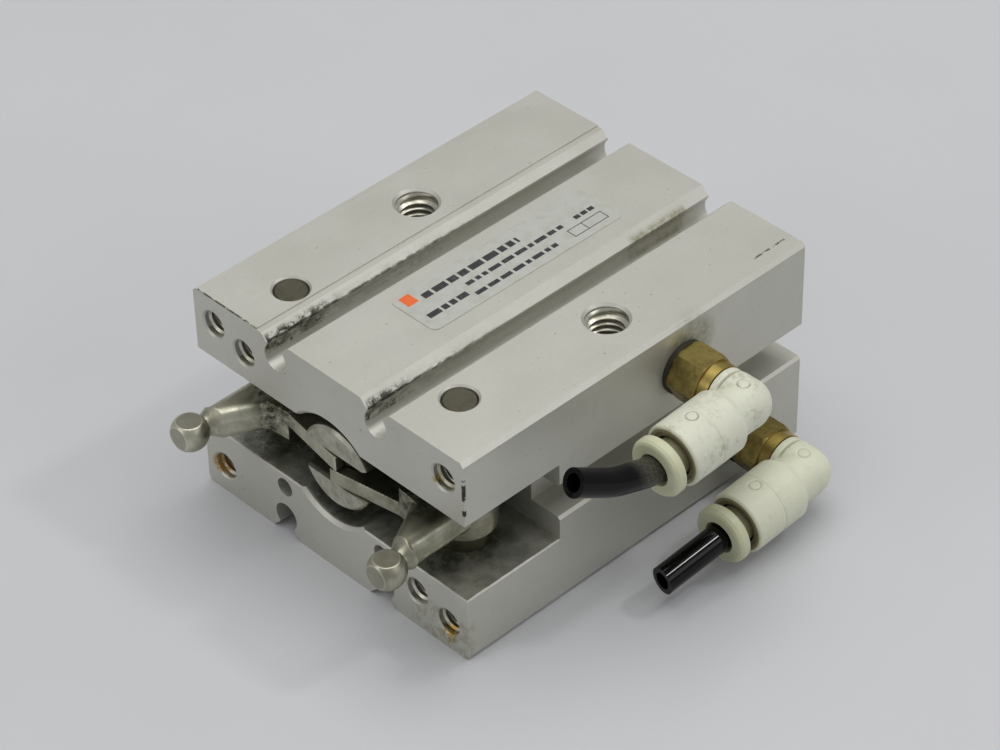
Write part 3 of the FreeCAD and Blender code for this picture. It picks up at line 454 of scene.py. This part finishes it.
def make_machined_finish(name, rough, speckled=0.0, patch=None, rusty=False, knob_side=0, turned=False):
    """Bare machined or forged metal: fine grain, blotches, and oil and black dirt where patch says."""
    base, dark = TONES[name]
    f = Finish(name)
    blotch = f.noise(0.5, 4.0, 0.6)
    grain = f.noise(14.0, 2.0, 0.6, shift=2.0)
    colour = f.mix(f.rise(blotch, 0.35, 0.68), base, dark)
    colour = f.mix(f.times(f.rise(grain, 0.4, 0.7), 0.22), colour, dark)
    roughness = f.span(f.rise(blotch, 0.3, 0.7), rough - 0.06, rough + 0.09)
    dirt = 0.0
    if turned:
        rings = turning_rings(f, 30.0)
        colour = f.mix(f.times(f.rise(rings, -0.4, 0.8), 0.12), colour, dark)
        f.bump(rings, 0.16, 0.01)
    if patch:
        oil = f.rise(f.noise(0.6, 6.0, 0.7, shift=23.0), 0.36, 0.58)
        colour = f.mix(f.times(patch(f), oil, 0.7), colour, OIL_ON_STEEL)
    if speckled:
        pile = f.times(patch(f), 0.7) if patch else 0.2
        dirt = f.times(specks(f, 6.0, pile), speckled)
        colour = f.mix(dirt, colour, GRIME)
        roughness = f.span(dirt, roughness, 0.85)
        f.bump(dirt, 0.35, 0.05)
    # A knob's ground flats are smoother and carry a painted darker reflection; their rims carry a painted
    # highlight.
    if knob_side:
        flats, rims = knob_flats_and_rims(f, knob_side)
        colour = f.mix(f.times(flats, 0.5), colour, PAINTED_FLAT_REFLECTION)
        colour = f.mix(f.times(rims, 0.22), colour, PAINTED_RIM_HIGHLIGHT)
        roughness = f.span(flats, roughness, 0.3)
    if rusty:
        rust, yellow = hole_rust(f)
        colour = f.mix(yellow, f.mix(rust, colour, RUST), YELLOW)
        dirt = f.most(dirt, rust)
    f.bump(grain, 0.14, 0.02)
    return f.finish(colour, roughness, f.span(dirt, 1.0, 0.0))


# The lever's ball knob in millimetres: its place from the middle and ahead of the front face, its radius, and
# how far from its centre the top and bottom flats and the front flat are.
KNOB_X = 19.4
KNOB_AHEAD = 7.7
KNOB_R = 2.72
KNOB_FLAT = 2.0
KNOB_NOSE = 2.05


def knob_flats_and_rims(f, side):
    """Masks of a knob's ground flats, for a painted reflection, and of their rims, for a painted highlight.
    """
    centre = (side * KNOB_X, FRONT_MM - KNOB_AHEAD, MIDDLE_MM)
    x, y, z = (f.math("SUBTRACT", v, c) for v, c in zip((f.x, f.y, f.z), centre))
    knob = f.near(centre, KNOB_R + 0.2, KNOB_R + 0.5)
    flats = []
    rims = []
    for along, first, second, height in ((f.math("ABSOLUTE", z), x, y, KNOB_FLAT),
                                         (f.times(y, -1.0), x, z, KNOB_NOSE)):
        rim_r = math.sqrt(KNOB_R ** 2 - height ** 2)
        radius = f.math("SQRT", f.math("ADD", f.times(first, first), f.times(second, second)))
        level = f.rise(along, height - 0.22, height - 0.08)
        flats.append(f.times(level, f.rise(radius, rim_r - 0.05, rim_r - 0.2)))
        rims.append(f.times(level, f.band(radius, rim_r - 0.05, rim_r + 0.03, 0.10)))
    return f.times(f.most(*flats), knob), f.times(f.most(*rims), knob)


# Where a lever is dirty, as places for front_place.
DIRTY_HUB = (14.0, 5.5, 1.5)
DIRTY_ARM = (5.0, 9.0, 0.0)
DIRTY_NECK = (KNOB_X - 0.6, 2.7 - KNOB_AHEAD, 0.5)


def lever_patch(side):
    """Mask maker of a lever's dirt: round its hub, at the root of its arm and behind its knob."""
    def patch(f):
        hub = f.near(front_place(side, DIRTY_HUB), 3.5, 8.5)
        arm = f.near(front_place(side, DIRTY_ARM), 2.0, 7.0)
        neck = f.near(front_place(side, DIRTY_NECK), 1.0, 2.6)
        return f.most(hub, f.times(arm, 0.6), f.times(neck, 0.55))
    return patch


# Along an elbow's socket, in millimetres: where its inside starts to show, its rim, and the button's shank.
MOUTH_INSIDE = 9.8
MOUTH_RIM_R = 4.1
SHANK_END = 15.0


def socket_length(f, name):
    """How far along an elbow's socket the surface lies, in millimetres."""
    start, along = socket_line(name)
    offset = f.tree.nodes.new("ShaderNodeVectorMath")
    offset.operation = "SUBTRACT"
    f.put(offset.inputs[0], f.place)
    offset.inputs[1].default_value = start / MM
    run = f.tree.nodes.new("ShaderNodeVectorMath")
    run.operation = "DOT_PRODUCT"
    f.put(run.inputs[0], offset.outputs[0])
    run.inputs[1].default_value = along
    return run.outputs["Value"]


def socket_radius(f, name, length):
    """Distance from the socket's centre line in millimetres, where length is what socket_length gives."""
    reach = f.far(socket_line(name)[0] / MM)
    return f.math("SQRT", f.math("SUBTRACT", f.times(reach, reach), f.times(length, length)))


def make_resin_finish(name, rough, soil, shift=0.0, mouth_of=None, shank_of=None):
    """Moulded resin: soft sheen, faint orange peel, and smudges and specks in proportion to soil.

    mouth_of names the elbow whose socket is dark inside, and shank_of the one whose button it is."""
    f = Finish(name, Subsurface_Weight=0.06, Subsurface_Scale=0.002, IOR=1.5)
    smudge = f.noise(0.8, 7.0, 0.78, shift=5.0 + shift)
    speck = f.noise(2.2, 6.0, 0.75, shift=14.0 + shift)
    peel = f.noise(3.0, 2.0, 0.5)
    patchy = f.rise(f.noise(0.22, 4.0, 0.6, shift=31.0 + shift), 0.40, 0.62)
    colour = f.mix(f.times(f.rise(smudge, 0.46, 0.66), patchy, soil), *TONES[name])
    dots = f.times(f.rise(speck, 0.65, 0.69), f.span(patchy, 0.25, 1.0), min(1.0, soil * 1.3))
    colour = f.mix(dots, colour, RESIN_SPECK)
    if mouth_of:
        length = socket_length(f, mouth_of)
        radius = socket_radius(f, mouth_of, length)
        inner = f.times(f.rise(length, MOUTH_INSIDE - 0.3, MOUTH_INSIDE),
                        f.rise(radius, MOUTH_RIM_R + 0.1, MOUTH_RIM_R - 0.05))
        colour = f.mix(f.times(inner, 0.9), colour, SOCKET_INSIDE)
        rings = f.most(*[f.band(f.far(mark / MM), 0.78, 0.92, 0.07) for mark in ejector_marks(mouth_of)])
        colour = f.mix(f.times(rings, soil, f.rise(smudge, 0.3, 0.6)), colour, MARK_GROOVE)
    if shank_of:
        shank = f.rise(socket_length(f, shank_of), SHANK_END, SHANK_END - 0.15)
        colour = f.mix(f.times(shank, 0.8), colour, BUTTON_SHANK)
    roughness = f.span(f.rise(smudge, 0.4, 0.7), rough, rough + 0.16)
    f.bump(peel, 0.08, 0.04)
    return f.finish(colour, roughness)


# The box in millimetres in which the upper tube is dusty, sideways, along and up.
DUSTY_TUBE = ((30, 45), (-11.0, -8.0), (22, 34))


def make_tube_finish():
    """Glossy black nylon with fine scuffs along it and pale dust where it leaves the upper fitting."""
    name = "black_nylon_tube"
    f = Finish(name, Specular_IOR_Level=0.08, Coat_Weight=0.22, Coat_Roughness=0.03)
    scuff = f.noise(3.0, 5.0, 0.7, (1, 0.12, 1))
    powder = f.noise(5.0, 6.0, 0.75, shift=9.0)
    colour = f.mix(f.times(f.rise(scuff, 0.54, 0.74), 0.2), *TONES[name])
    mouth = f.inside(*DUSTY_TUBE, 2.6)
    dust = f.times(mouth, f.span(f.rise(powder, 0.38, 0.66), 0.15, 0.62))
    colour = f.mix(dust, colour, DUST)
    f.bump(scuff, 0.10, 0.03)
    return f.finish(colour, f.span(f.math("ADD", dust, f.times(scuff, 0.12), True), 0.09, 0.6))


# Where a port stud's hexagon ends and its brighter round collar starts, in millimetres from the housing.
COLLAR_START = 5.4


def make_brass_finish():
    """Olive, spotted brass with turning lines and a cleaner collar."""
    name = "tarnished_brass"
    f = Finish(name)
    patch = f.noise(0.55, 5.0, 0.65, shift=7.0)
    turn = f.noise(10.0, 2.0, 0.6, (1, 0.1, 0.1))
    colour = f.mix(f.rise(patch, 0.36, 0.64), *TONES[name])
    spots = f.rise(f.noise(1.7, 5.0, 0.7, shift=2.0), 0.60, 0.70)
    colour = f.mix(spots, colour, BRASS_SPOT)
    collar = f.rise(f.x, SIDE_MM + COLLAR_START, SIDE_MM + COLLAR_START + 0.4)
    colour = f.mix(f.times(collar, 0.55), colour, BRASS_COLLAR)
    f.bump(turn, 0.22, 0.03)
    return f.finish(colour, f.span(f.rise(patch, 0.35, 0.65), 0.28, 0.44), 1.0)


def make_rubber_finish(name, rough):
    """Rubber or soft resin with fine pores and a faint grey bloom."""
    f = Finish(name)
    bloom = f.noise(1.2, 5.0, 0.6)
    pore = f.noise(9.0, 3.0, 0.6)
    colour = f.mix(f.times(f.rise(bloom, 0.5, 0.75), 0.2), *TONES[name])
    f.bump(pore, 0.2, 0.03)
    return f.finish(colour, f.span(pore, rough, rough + 0.15))


# How far behind the housing's front face the rod's oily part begins, from clean to oily, in millimetres.
ROD_CLEAN_TO, ROD_OILY_FROM = 1.2, 1.9


def make_rod_finish():
    """Turned and ground rod: pale nose with faint turning rings, dark oil in its slot."""
    name = "ground_rod"
    f = Finish(name)
    rings = turning_rings(f, 24.0)
    blotch = f.noise(0.7, 5.0, 0.65, shift=3.0)
    colour = f.mix(f.rise(blotch, 0.35, 0.7), *TONES[name])
    oil = f.times(f.rise(f.y, FRONT_MM + ROD_CLEAN_TO, FRONT_MM + ROD_OILY_FROM), 0.8)
    colour = f.mix(oil, colour, OIL_ON_ROD)
    spots = specks(f, 17.0, 0.15)
    colour = f.mix(spots, colour, GRIME)
    f.bump(rings, 0.10, 0.01)
    return f.finish(colour, f.span(blotch, 0.34, 0.55), f.span(spots, 0.85, 0.1))


def make_label_finish():
    """Silver film with faint rubbing along its length."""
    name = "rating_label_film"
    f = Finish(name, Coat_Weight=0.25, Coat_Roughness=0.25)
    wear = f.noise(0.5, 5.0, 0.65)
    rub = f.noise(5.0, 3.0, 0.6, (1, 0.2, 1), 3.0)
    colour = f.mix(f.rise(wear, 0.4, 0.7), *TONES[name])
    f.bump(rub, 0.06, 0.01)
    return f.finish(colour, f.span(rub, 0.36, 0.5), 0.35)


def make_print_finish(name):
    """Printing ink, faded where the wear noise is high."""
    f = Finish(name)
    wear = f.noise(3.0, 5.0, 0.7)
    colour = f.mix(f.rise(wear, 0.5, 0.72), *TONES[name])
    return f.finish(colour, f.span(wear, 0.45, 0.6))


# ---------------------------------------------------------------- mesh pieces

def new_piece(name, mesh, material, body, smooth_angle=None):
    """Links a mesh as a piece that rides on a CAD body."""
    piece = bpy.data.objects.new(name, mesh)
    bpy.context.scene.collection.objects.link(piece)
    piece.data.materials.clear()
    piece.data.materials.append(material)
    if smooth_angle is not None:
        for polygon in mesh.polygons:
            polygon.use_smooth = True
        mesh.set_sharp_from_angle(angle=math.radians(smooth_angle))
    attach(piece, body)
    return piece


def mesh_from(name, points, faces):
    mesh = bpy.data.meshes.new(name)
    mesh.from_pydata([tuple(p) for p in points], [], faces)
    build = bmesh.new()
    build.from_mesh(mesh)
    bmesh.ops.recalc_face_normals(build, faces=build.faces)
    build.to_mesh(mesh)
    build.free()
    mesh.update()
    return mesh


# A thread's ridge: steps in a turn and in the taper at either end, then in pitches its height, half its width
# at the root and at the crest, and how far under the countersink it starts.
STEPS_PER_TURN = 36
TAPER_STEPS = 20
RIDGE_HEIGHT = 0.54
ROOT_HALF = 0.44
CREST_HALF = 0.10
RIDGE_START = 0.46


def thread_mesh(name, mouth, outward, wall_r, pitch, start, end):
    """A helical ridge of trapezoid section on the wall of a hole, start to end below its mouth."""
    side = outward.orthogonal().normalized()
    other = outward.cross(side)
    crest_r = wall_r - RIDGE_HEIGHT * pitch
    root_r = wall_r + 0.01 * MM
    profile = [(root_r, -ROOT_HALF), (crest_r, -CREST_HALF), (crest_r, CREST_HALF), (root_r, ROOT_HALF)]
    steps = int((end - start) / pitch * STEPS_PER_TURN)
    points = []
    for i in range(steps + 1):
        angle = 2 * math.pi * i / STEPS_PER_TURN
        fade = min(1.0, i / TAPER_STEPS, (steps - i) / TAPER_STEPS)
        depth = start + (end - start) * i / steps
        ray = side * math.cos(angle) + other * math.sin(angle)
        for radius, offset in profile:
            shown = wall_r + (radius - wall_r) * max(fade, 0.03)
            points.append(mouth + ray * shown - outward * (depth + offset * pitch))
    faces = []
    count = len(profile)
    for i in range(steps):
        for j in range(count):
            k = (j + 1) % count
            faces.append((i * count + j, (i + 1) * count + j, (i + 1) * count + k, i * count + k))
    faces.append(tuple(range(count)))
    faces.append(tuple(steps * count + j for j in range(count)))
    return mesh_from(name, points, faces)


# Threads: the outside radius, which is the hole's wall in CAD, the standard pitch, the countersink's depth.
M6 = (3.0 * MM, 1.0 * MM, 0.4 * MM)
M5 = (2.5 * MM, 0.8 * MM, 0.3 * MM)
M4 = (2.0 * MM, 0.7 * MM, 0.25 * MM)


# The tapped holes in millimetres. The top and bottom ones are given by how far to the side and behind the
# front face they are, the others by how far to the side and from mid height. The last value of each is the
# depth to which its thread shows.
TOP_HOLE = (18.2, 33.7, 11.0)
CORNER_HOLE = (22.2, 12.5, 7.0)
INNER_HOLE = (16.25, 10.9, 4.4)
REAR_HOLE = (17.0, 0.0, 7.0)


def hole_places():
    """(name, mouth, outward direction, size, depth shown) of each tapped hole."""
    places = []

    def add(name, mouth, outward, size, hole):
        places.append((name, Vector(mouth), outward, size, hole[2] * MM))

    for side, hand in ((-1, "left"), (1, "right")):
        x = side * TOP_HOLE[0] * MM
        y = FRONT + TOP_HOLE[1] * MM
        add("thread_top_" + hand, (x, y, TOP), AXIS_Z, M6, TOP_HOLE)
        add("thread_bottom_" + hand, (x, y, 0), -AXIS_Z, M6, TOP_HOLE)
        for up, level in ((-1, "low"), (1, "high")):
            mouth = (side * CORNER_HOLE[0] * MM, FRONT, MIDDLE + up * CORNER_HOLE[1] * MM)
            add("thread_front_" + level + "_" + hand, mouth, -AXIS_Y, M4, CORNER_HOLE)
        mouth = (side * INNER_HOLE[0] * MM, FRONT, MIDDLE - side * INNER_HOLE[1] * MM)
        add("thread_inner_" + hand, mouth, -AXIS_Y, M4, INNER_HOLE)
        add("thread_rear_" + hand, (side * REAR_HOLE[0] * MM, REAR, MIDDLE), AXIS_Y, M5, REAR_HOLE)
    return places


def make_threads(material):
    for name, mouth, outward, (wall_r, pitch, sink), depth in hole_places():
        mesh = thread_mesh(name, mouth, outward, wall_r, pitch, sink + RIDGE_START * pitch, depth)
        new_piece(name, mesh, material, "housing", 50)


def copied_mesh(node, voxel, rounds):
    """A node's shape as an even fine mesh with its edges softened, as moulded or forged parts have."""
    source = NODES[node].data.copy()
    build = bmesh.new()
    build.from_mesh(source)
    bmesh.ops.remove_doubles(build, verts=build.verts, dist=1e-6)
    build.to_mesh(source)
    build.free()
    holder = bpy.data.objects.new(node + "_source", source)
    bpy.context.scene.collection.objects.link(holder)
    remesh = holder.modifiers.new("even", "REMESH")
    remesh.mode = "VOXEL"
    remesh.voxel_size = voxel
    relax = holder.modifiers.new("soft", "SMOOTH")
    relax.factor = 0.5
    relax.iterations = rounds
    graph = bpy.context.evaluated_depsgraph_get()
    result = bpy.data.meshes.new_from_object(holder.evaluated_get(graph))
    bpy.data.objects.remove(holder)
    result.name = node + "_soft"
    return result


def shift_points(mesh, move):
    """Moves every point of a mesh by what move(point) gives."""
    for v in mesh.vertices:
        v.co += move(v.co.copy())
    mesh.update()


def bell(value, width):
    """1 at a value of 0, and falling off either side over about width."""
    return math.exp(-(value / width) ** 2)


# The elbows: how far out the sockets' centre lines are, each port's y and z, its socket's slope in degrees.
ELBOW_X = 37.0 * MM
PORTS = {"upper": (8.15 * MM, 26.55 * MM, 3.4), "lower": (20.95 * MM, 6.8 * MM, 3.8)}
# The seam round a socket, the ejector pins' rings on it and on the corner, and the groove behind the collar.
SEAM_AT = 8.6 * MM
SEAM_DEPTH = 0.11 * MM
EJECTOR_R = 0.85 * MM
EJECTOR_DEPTH = 0.12 * MM
LINE_WIDTH = 0.12 * MM
SOCKET_MARK_ALONG = 9.8 * MM
SOCKET_MARK_UP = 4.6 * MM
CORNER_MARK_UP = 3.6 * MM
COLLAR_GROOVE_X = SIDE + 8.5 * MM
COLLAR_GROOVE_DEPTH = 0.30 * MM
COLLAR_GROOVE_WIDTH = 0.16 * MM
# Where the socket parts from the corner, how far from its own axis each outer surface surely lies, and how
# far inside ELBOW_X the stem's part ends.
SOCKET_FROM = 4.0 * MM
SOCKET_SKIN = 4.0 * MM
MARKED_SKIN = 2.0 * MM
STEM_SKIN = 2.9 * MM
STEM_INSIDE = 1.5 * MM


def socket_line(name):
    """Start of the socket's centre line and its direction, towards the open end."""
    y, z, drop = PORTS[name]
    a = math.radians(drop)
    return Vector((ELBOW_X, y, z)), Vector((0, -math.cos(a), -math.sin(a)))


def socket_up(along):
    """The direction square to a socket that points most nearly up."""
    across = along.cross(AXIS_X).normalized()
    return across if across.z > 0 else -across


def ejector_marks(name):
    """Centres of the two ring marks that the mould's ejector pins left, on the socket and on the corner."""
    start, along = socket_line(name)
    up = socket_up(along)
    return [start + up * SOCKET_MARK_UP + along * SOCKET_MARK_ALONG, start + up * CORNER_MARK_UP]


def make_elbow(name, material):
    """Moulded elbow: soft blends, a seam round the socket and the moulding pins' ring marks."""
    start, along = socket_line(name)
    up = socket_up(along)
    marks = ejector_marks(name)

    def move(point):
        s = (point - start).dot(along)
        spoke = (point - start) - along * s
        change = Vector((0, 0, 0))
        if spoke.length > SOCKET_SKIN and s > SOCKET_FROM:
            change -= spoke.normalized() * SEAM_DEPTH * bell(s - SEAM_AT, LINE_WIDTH)
        for mark in marks:
            away = (point - mark) - up * (point - mark).dot(up)
            if (point - start).dot(up) > MARKED_SKIN:
                change -= up * EJECTOR_DEPTH * bell(away.length - EJECTOR_R, LINE_WIDTH)
        stem = Vector((0, point.y - start.y, point.z - start.z))
        if point.x < ELBOW_X - STEM_INSIDE and stem.length > STEM_SKIN and s < SOCKET_FROM:
            groove = bell(point.x - COLLAR_GROOVE_X, COLLAR_GROOVE_WIDTH)
            change -= stem.normalized() * COLLAR_GROOVE_DEPTH * groove
        return change

    mesh = copied_mesh(name + "_elbow", voxel=0.11 * MM, rounds=6)
    shift_points(mesh, move)
    piece = new_piece(name + "_elbow_moulded", mesh, material, name + "_fitting", 40)
    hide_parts(name + "_elbow")


# The waist between knob and arm in millimetres: its radius, the span along the neck in which it widens again,
# how much and how steeply it does, and where the knob's back begins. The neck leans towards the middle by
# NECK_LEAN.
WAIST_R = 1.55
WAIST_AT = 2.25
WAIST_END = 5.6
WAIST_GROWTH = 2.2
WAIST_POWER = 1.3
KNOB_BACK = 0.3
NECK_LEAN = 0.13


def waist_limit(t):
    """How far the lever may reach from its neck's line, t from the knob's centre, all in millimetres."""
    if t < WAIST_AT:
        return max(WAIST_R, math.sqrt(KNOB_R ** 2 - t ** 2))
    return WAIST_R + WAIST_GROWTH * ((t - WAIST_AT) / (WAIST_END - WAIST_AT)) ** WAIST_POWER


def make_levers(materials):
    """Forged levers: softened edges, and a narrow waist where the neck meets the flat-topped knob."""
    for side, hand in ((-1, "left"), (1, "right")):
        knob = Vector((side * KNOB_X * MM, FRONT - KNOB_AHEAD * MM, MIDDLE))
        back = Vector((-side * NECK_LEAN, 1, 0)).normalized()

        def move(point):
            offset = (point - knob) / MM
            t = offset.dot(back)
            if t > WAIST_END or t < KNOB_BACK:
                return Vector((0, 0, 0))
            spoke = offset - back * t
            limit = waist_limit(t)
            if spoke.length > limit:
                spoke *= limit / spoke.length
            if t < WAIST_AT:
                spoke.z = max(-KNOB_FLAT, min(KNOB_FLAT, spoke.z))
            return (back * t + spoke - offset) * MM

        mesh = copied_mesh(hand + "_lever", voxel=0.10 * MM, rounds=2)
        shift_points(mesh, move)
        body = hand + "_lever_body"
        piece = new_piece(hand + "_lever_forged", mesh, materials[hand], body, 45)
        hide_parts(hand + "_lever")


LABEL_LOW, LABEL_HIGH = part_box("rating_label")
PRINT_T = 0.012 * MM


def plate_mesh(name, rectangles):
    """Thin flat printed marks on the label, each (x0, y0, x1, y1) in metres from its middle front edge."""
    points = []
    faces = []
    base_x = (LABEL_LOW.x + LABEL_HIGH.x) / 2
    z0 = LABEL_HIGH.z - 0.002 * MM
    z1 = LABEL_HIGH.z + PRINT_T
    for x0, y0, x1, y1 in rectangles:
        first = len(points)
        for z in (z0, z1):
            for x, y in ((x0, y0), (x1, y0), (x1, y1), (x0, y1)):
                points.append(Vector((base_x + x, LABEL_LOW.y + y, z)))
        for face in ((0, 3, 2, 1), (4, 5, 6, 7), (0, 1, 5, 4), (1, 2, 6, 5), (2, 3, 7, 6), (3, 0, 4, 7)):
            faces.append(tuple(first + i for i in face))
    return mesh_from(name, points, faces)


def dashes(rng, x, height, y0, y1, widths, gap):
    """One line of blank bars that stands for a line of print, in millimetres."""
    row = []
    y = y0
    while y < y1:
        length = min(rng.choice(widths), y1 - y)
        row.append((x - height / 2, y, x + height / 2, y + length))
        y += length + gap
    return row


# The label's print in millimetres from its middle front edge. Each line of bars: its place across the label,
# its height, its start and end along the label, the lengths its bars may have, and the gap between them.
PRINT_SEED = 11
PRINT_LINES = (
    (-1.95, 1.15, 3.9, 21.5, (1.1, 1.5, 2.3), 0.45),
    (1.65, 1.0, 1.5, 8.6, (1.0, 2.2), 0.4),
    (0.25, 0.75, 9.8, 27.8, (0.8, 1.3, 2.0), 0.45),
    (2.6, 0.75, 9.3, 24.5, (0.8, 1.2, 1.9), 0.45),
    (0.2, 0.75, 30.2, 33.8, (1.0,), 0.3),
)
# The empty frame in two parts, its line's width and where it is divided, and the orange square.
PRINT_FRAME = (1.5, 27.4, 3.3, 33.8)
PRINT_FRAME_LINE = 0.12
PRINT_FRAME_SPLIT = 2.6
ORANGE_SQUARE = (-3.85, 1.1, -1.7, 2.95)


def frame_lines():
    """The five thin bars of the empty frame."""
    x0, y0, x1, y1 = PRINT_FRAME
    split = y0 + PRINT_FRAME_SPLIT
    return [
        (x0, y0, x0 + PRINT_FRAME_LINE, y1), (x1 - PRINT_FRAME_LINE, y0, x1, y1),
        (x0, y0, x1, y0 + PRINT_FRAME_LINE), (x0, y1 - PRINT_FRAME_LINE, x1, y1),
        (x0, split, x1, split + PRINT_FRAME_LINE),
    ]


def make_label_marks(black, orange):
    """The label's printing, as an orange square and plain bars in place of any lettering."""
    rng = random.Random(PRINT_SEED)
    bars = [bar for line in PRINT_LINES for bar in dashes(rng, *line)]
    for name, rectangles, material in (("label_print_bars", bars + frame_lines(), black),
                                       ("label_orange_square", [ORANGE_SQUARE], orange)):
        mesh = plate_mesh(name, [tuple(v * MM for v in r) for r in rectangles])
        new_piece(name, mesh, material, "housing")


# ---------------------------------------------------------------- put the finishes on

def paint(material, *names):
    for name in names:
        for slot in NODES[name].material_slots:
            slot.material = material


def paint_all():
    paint(make_housing_finish(), "body_housing")
    paint(make_label_finish(), "rating_label")
    paint(make_rod_finish(), "piston_rod")
    paint(make_machined_finish("turned_aluminium", 0.38, turned=True), "rod_cover", "end_cap", "piston")
    paint(make_machined_finish("dark_ground_pin", 0.40, speckled=0.5),
          "left_lever_shaft", "right_lever_shaft", "lever_spacers", "joint_pin", "rod_nut")
    paint(make_machined_finish("sintered_bronze", 0.45), "left_lever_bush", "right_lever_bush")
    paint(make_machined_finish("black_spring_steel", 0.42), "retaining_ring")
    paint(make_machined_finish("pressed_stainless", 0.3), "upper_collet", "lower_collet")
    paint(make_brass_finish(), "upper_port_stud", "lower_port_stud")
    paint(make_rubber_finish("port_ring", 0.45), "upper_port_gasket", "lower_port_gasket")
    paint(make_rubber_finish("black_nitrile", 0.5),
          "rod_cover_oring", "rod_seal", "piston_seal", "cap_gasket", "upper_stud_oring", "lower_stud_oring",
          "upper_tube_seal", "lower_tube_seal", "magnet_ring")
    paint(make_rubber_finish("urethane", 0.45), "front_bumper", "rear_bumper")
    paint(make_rubber_finish("filled_resin", 0.5), "wear_ring")
    paint(make_resin_finish("khaki_resin", 0.5, soil=0.8), "upper_guide_ring", "lower_guide_ring")
    for port in PORTS:
        resin = make_resin_finish("ivory_button_" + port, 0.38, soil=0.3, shank_of=port)
        paint(resin, port + "_release_button")
    paint(make_tube_finish(), "upper_air_tube", "lower_air_tube")


paint_all()
make_threads(make_machined_finish("thread_metal", 0.34, speckled=0.3, rusty=True))
make_elbow("upper", make_resin_finish("grimy_elbow", 0.42, soil=0.62, mouth_of="upper"))
make_elbow("lower", make_resin_finish("ivory_elbow", 0.4, soil=0.3, shift=6.0, mouth_of="lower"))
# Each lever has its own copy of the steel, lighter on the left as painted light and darker on the right as
# painted shade.
make_levers({
    hand: make_machined_finish("satin_lever_steel_painted_light_" + hand, 0.36, speckled=1.0,
                               patch=lever_patch(side), knob_side=side)
    for side, hand in ((-1, "left"), (1, "right"))
})
make_label_marks(make_print_finish("print_black"), make_print_finish("print_orange"))


# ---------------------------------------------------------------- floor, light and camera

FLOOR_HALF = 1.6
FLOOR_GAP = 0.02 * MM


def make_floor():
    """A plain pale floor, just clear of the housing's bottom face."""
    corners = [(x * FLOOR_HALF, y * FLOOR_HALF, 0) for x, y in ((-1, -1), (1, -1), (1, 1), (-1, 1))]
    floor = bpy.data.objects.new("floor", mesh_from("floor", corners, [(0, 1, 2, 3)]))
    bpy.context.scene.collection.objects.link(floor)
    f = Finish("pale_floor")
    tone = f.noise(0.02, 3.0, 0.5)
    floor.data.materials.append(f.finish(f.mix(tone, *TONES["pale_floor"]), 0.7))
    floor.location.z = -FLOOR_GAP


def make_area_light(name, place, target, size, watts, colour):
    data = bpy.data.lights.new(name, "AREA")
    data.shape = "DISK"
    data.size = size
    data.energy = watts
    data.color = colour
    light = bpy.data.objects.new(name, data)
    light.location = place
    light.rotation_euler = (Vector(target) - Vector(place)).to_track_quat("-Z", "Y").to_euler()
    bpy.context.scene.collection.objects.link(light)


# Studio lights, all aimed at the middle of the object: name, place in metres, size, watts and colour.
AIM = (0, 0, 0.01)
LIGHTS = (
    ("overhead", (-0.06, 0.08, 0.95), 0.95, 5.2, (1.0, 0.995, 0.97)),
    ("right_fill", (0.75, 0.25, 0.45), 0.5, 1.0, (0.98, 0.985, 1.0)),
    ("front_fill", (-0.25, -0.80, 0.40), 0.5, 1.1, (1.0, 1.0, 0.99)),
    ("glint", (0.36, 0.42, 0.75), 0.09, 0.9, (1.0, 1.0, 1.0)),
)
WORLD_COLOUR = (0.98, 0.985, 1.0, 1.0)
WORLD_STRENGTH = 0.40


def make_lights():
    for name, place, size, watts, colour in LIGHTS:
        make_area_light(name, place, AIM, size, watts, colour)
    world = bpy.data.worlds.new("studio")
    world.use_nodes = True
    background = world.node_tree.nodes["Background"]
    background.inputs["Color"].default_value = WORLD_COLOUR
    background.inputs["Strength"].default_value = WORLD_STRENGTH
    bpy.context.scene.world = world


# The camera's place in metres, its lens for a 36 mm wide picture, and its directions in degrees: pan from +X,
# tilt from level and roll about the line of sight.
CAMERA_PLACE = (0.27184, -0.25870, 0.32407)
CAMERA_LENS = 127.42
CAMERA_PAN = 136.480
CAMERA_TILT = -39.492
CAMERA_ROLL = -1.286


def make_camera():
    """A long lens from the lever end's right, looking down at about 40 degrees."""
    data = bpy.data.cameras.new("camera")
    data.lens = CAMERA_LENS
    data.sensor_width = 36.0
    data.clip_start = 0.01
    data.clip_end = 20.0
    camera = bpy.data.objects.new("camera", data)
    pan, tilt, roll = (math.radians(a) for a in (CAMERA_PAN, CAMERA_TILT, CAMERA_ROLL))
    ahead = Vector((math.cos(tilt) * math.cos(pan), math.cos(tilt) * math.sin(pan), math.sin(tilt)))
    camera.rotation_mode = "QUATERNION"
    camera.rotation_quaternion = ahead.to_track_quat("-Z", "Y") @ Quaternion(AXIS_Z, roll)
    camera.location = CAMERA_PLACE
    bpy.context.scene.collection.objects.link(camera)
    bpy.context.scene.camera = camera


make_floor()
make_lights()
make_camera()
bpy.context.scene.view_settings.view_transform = "Standard"
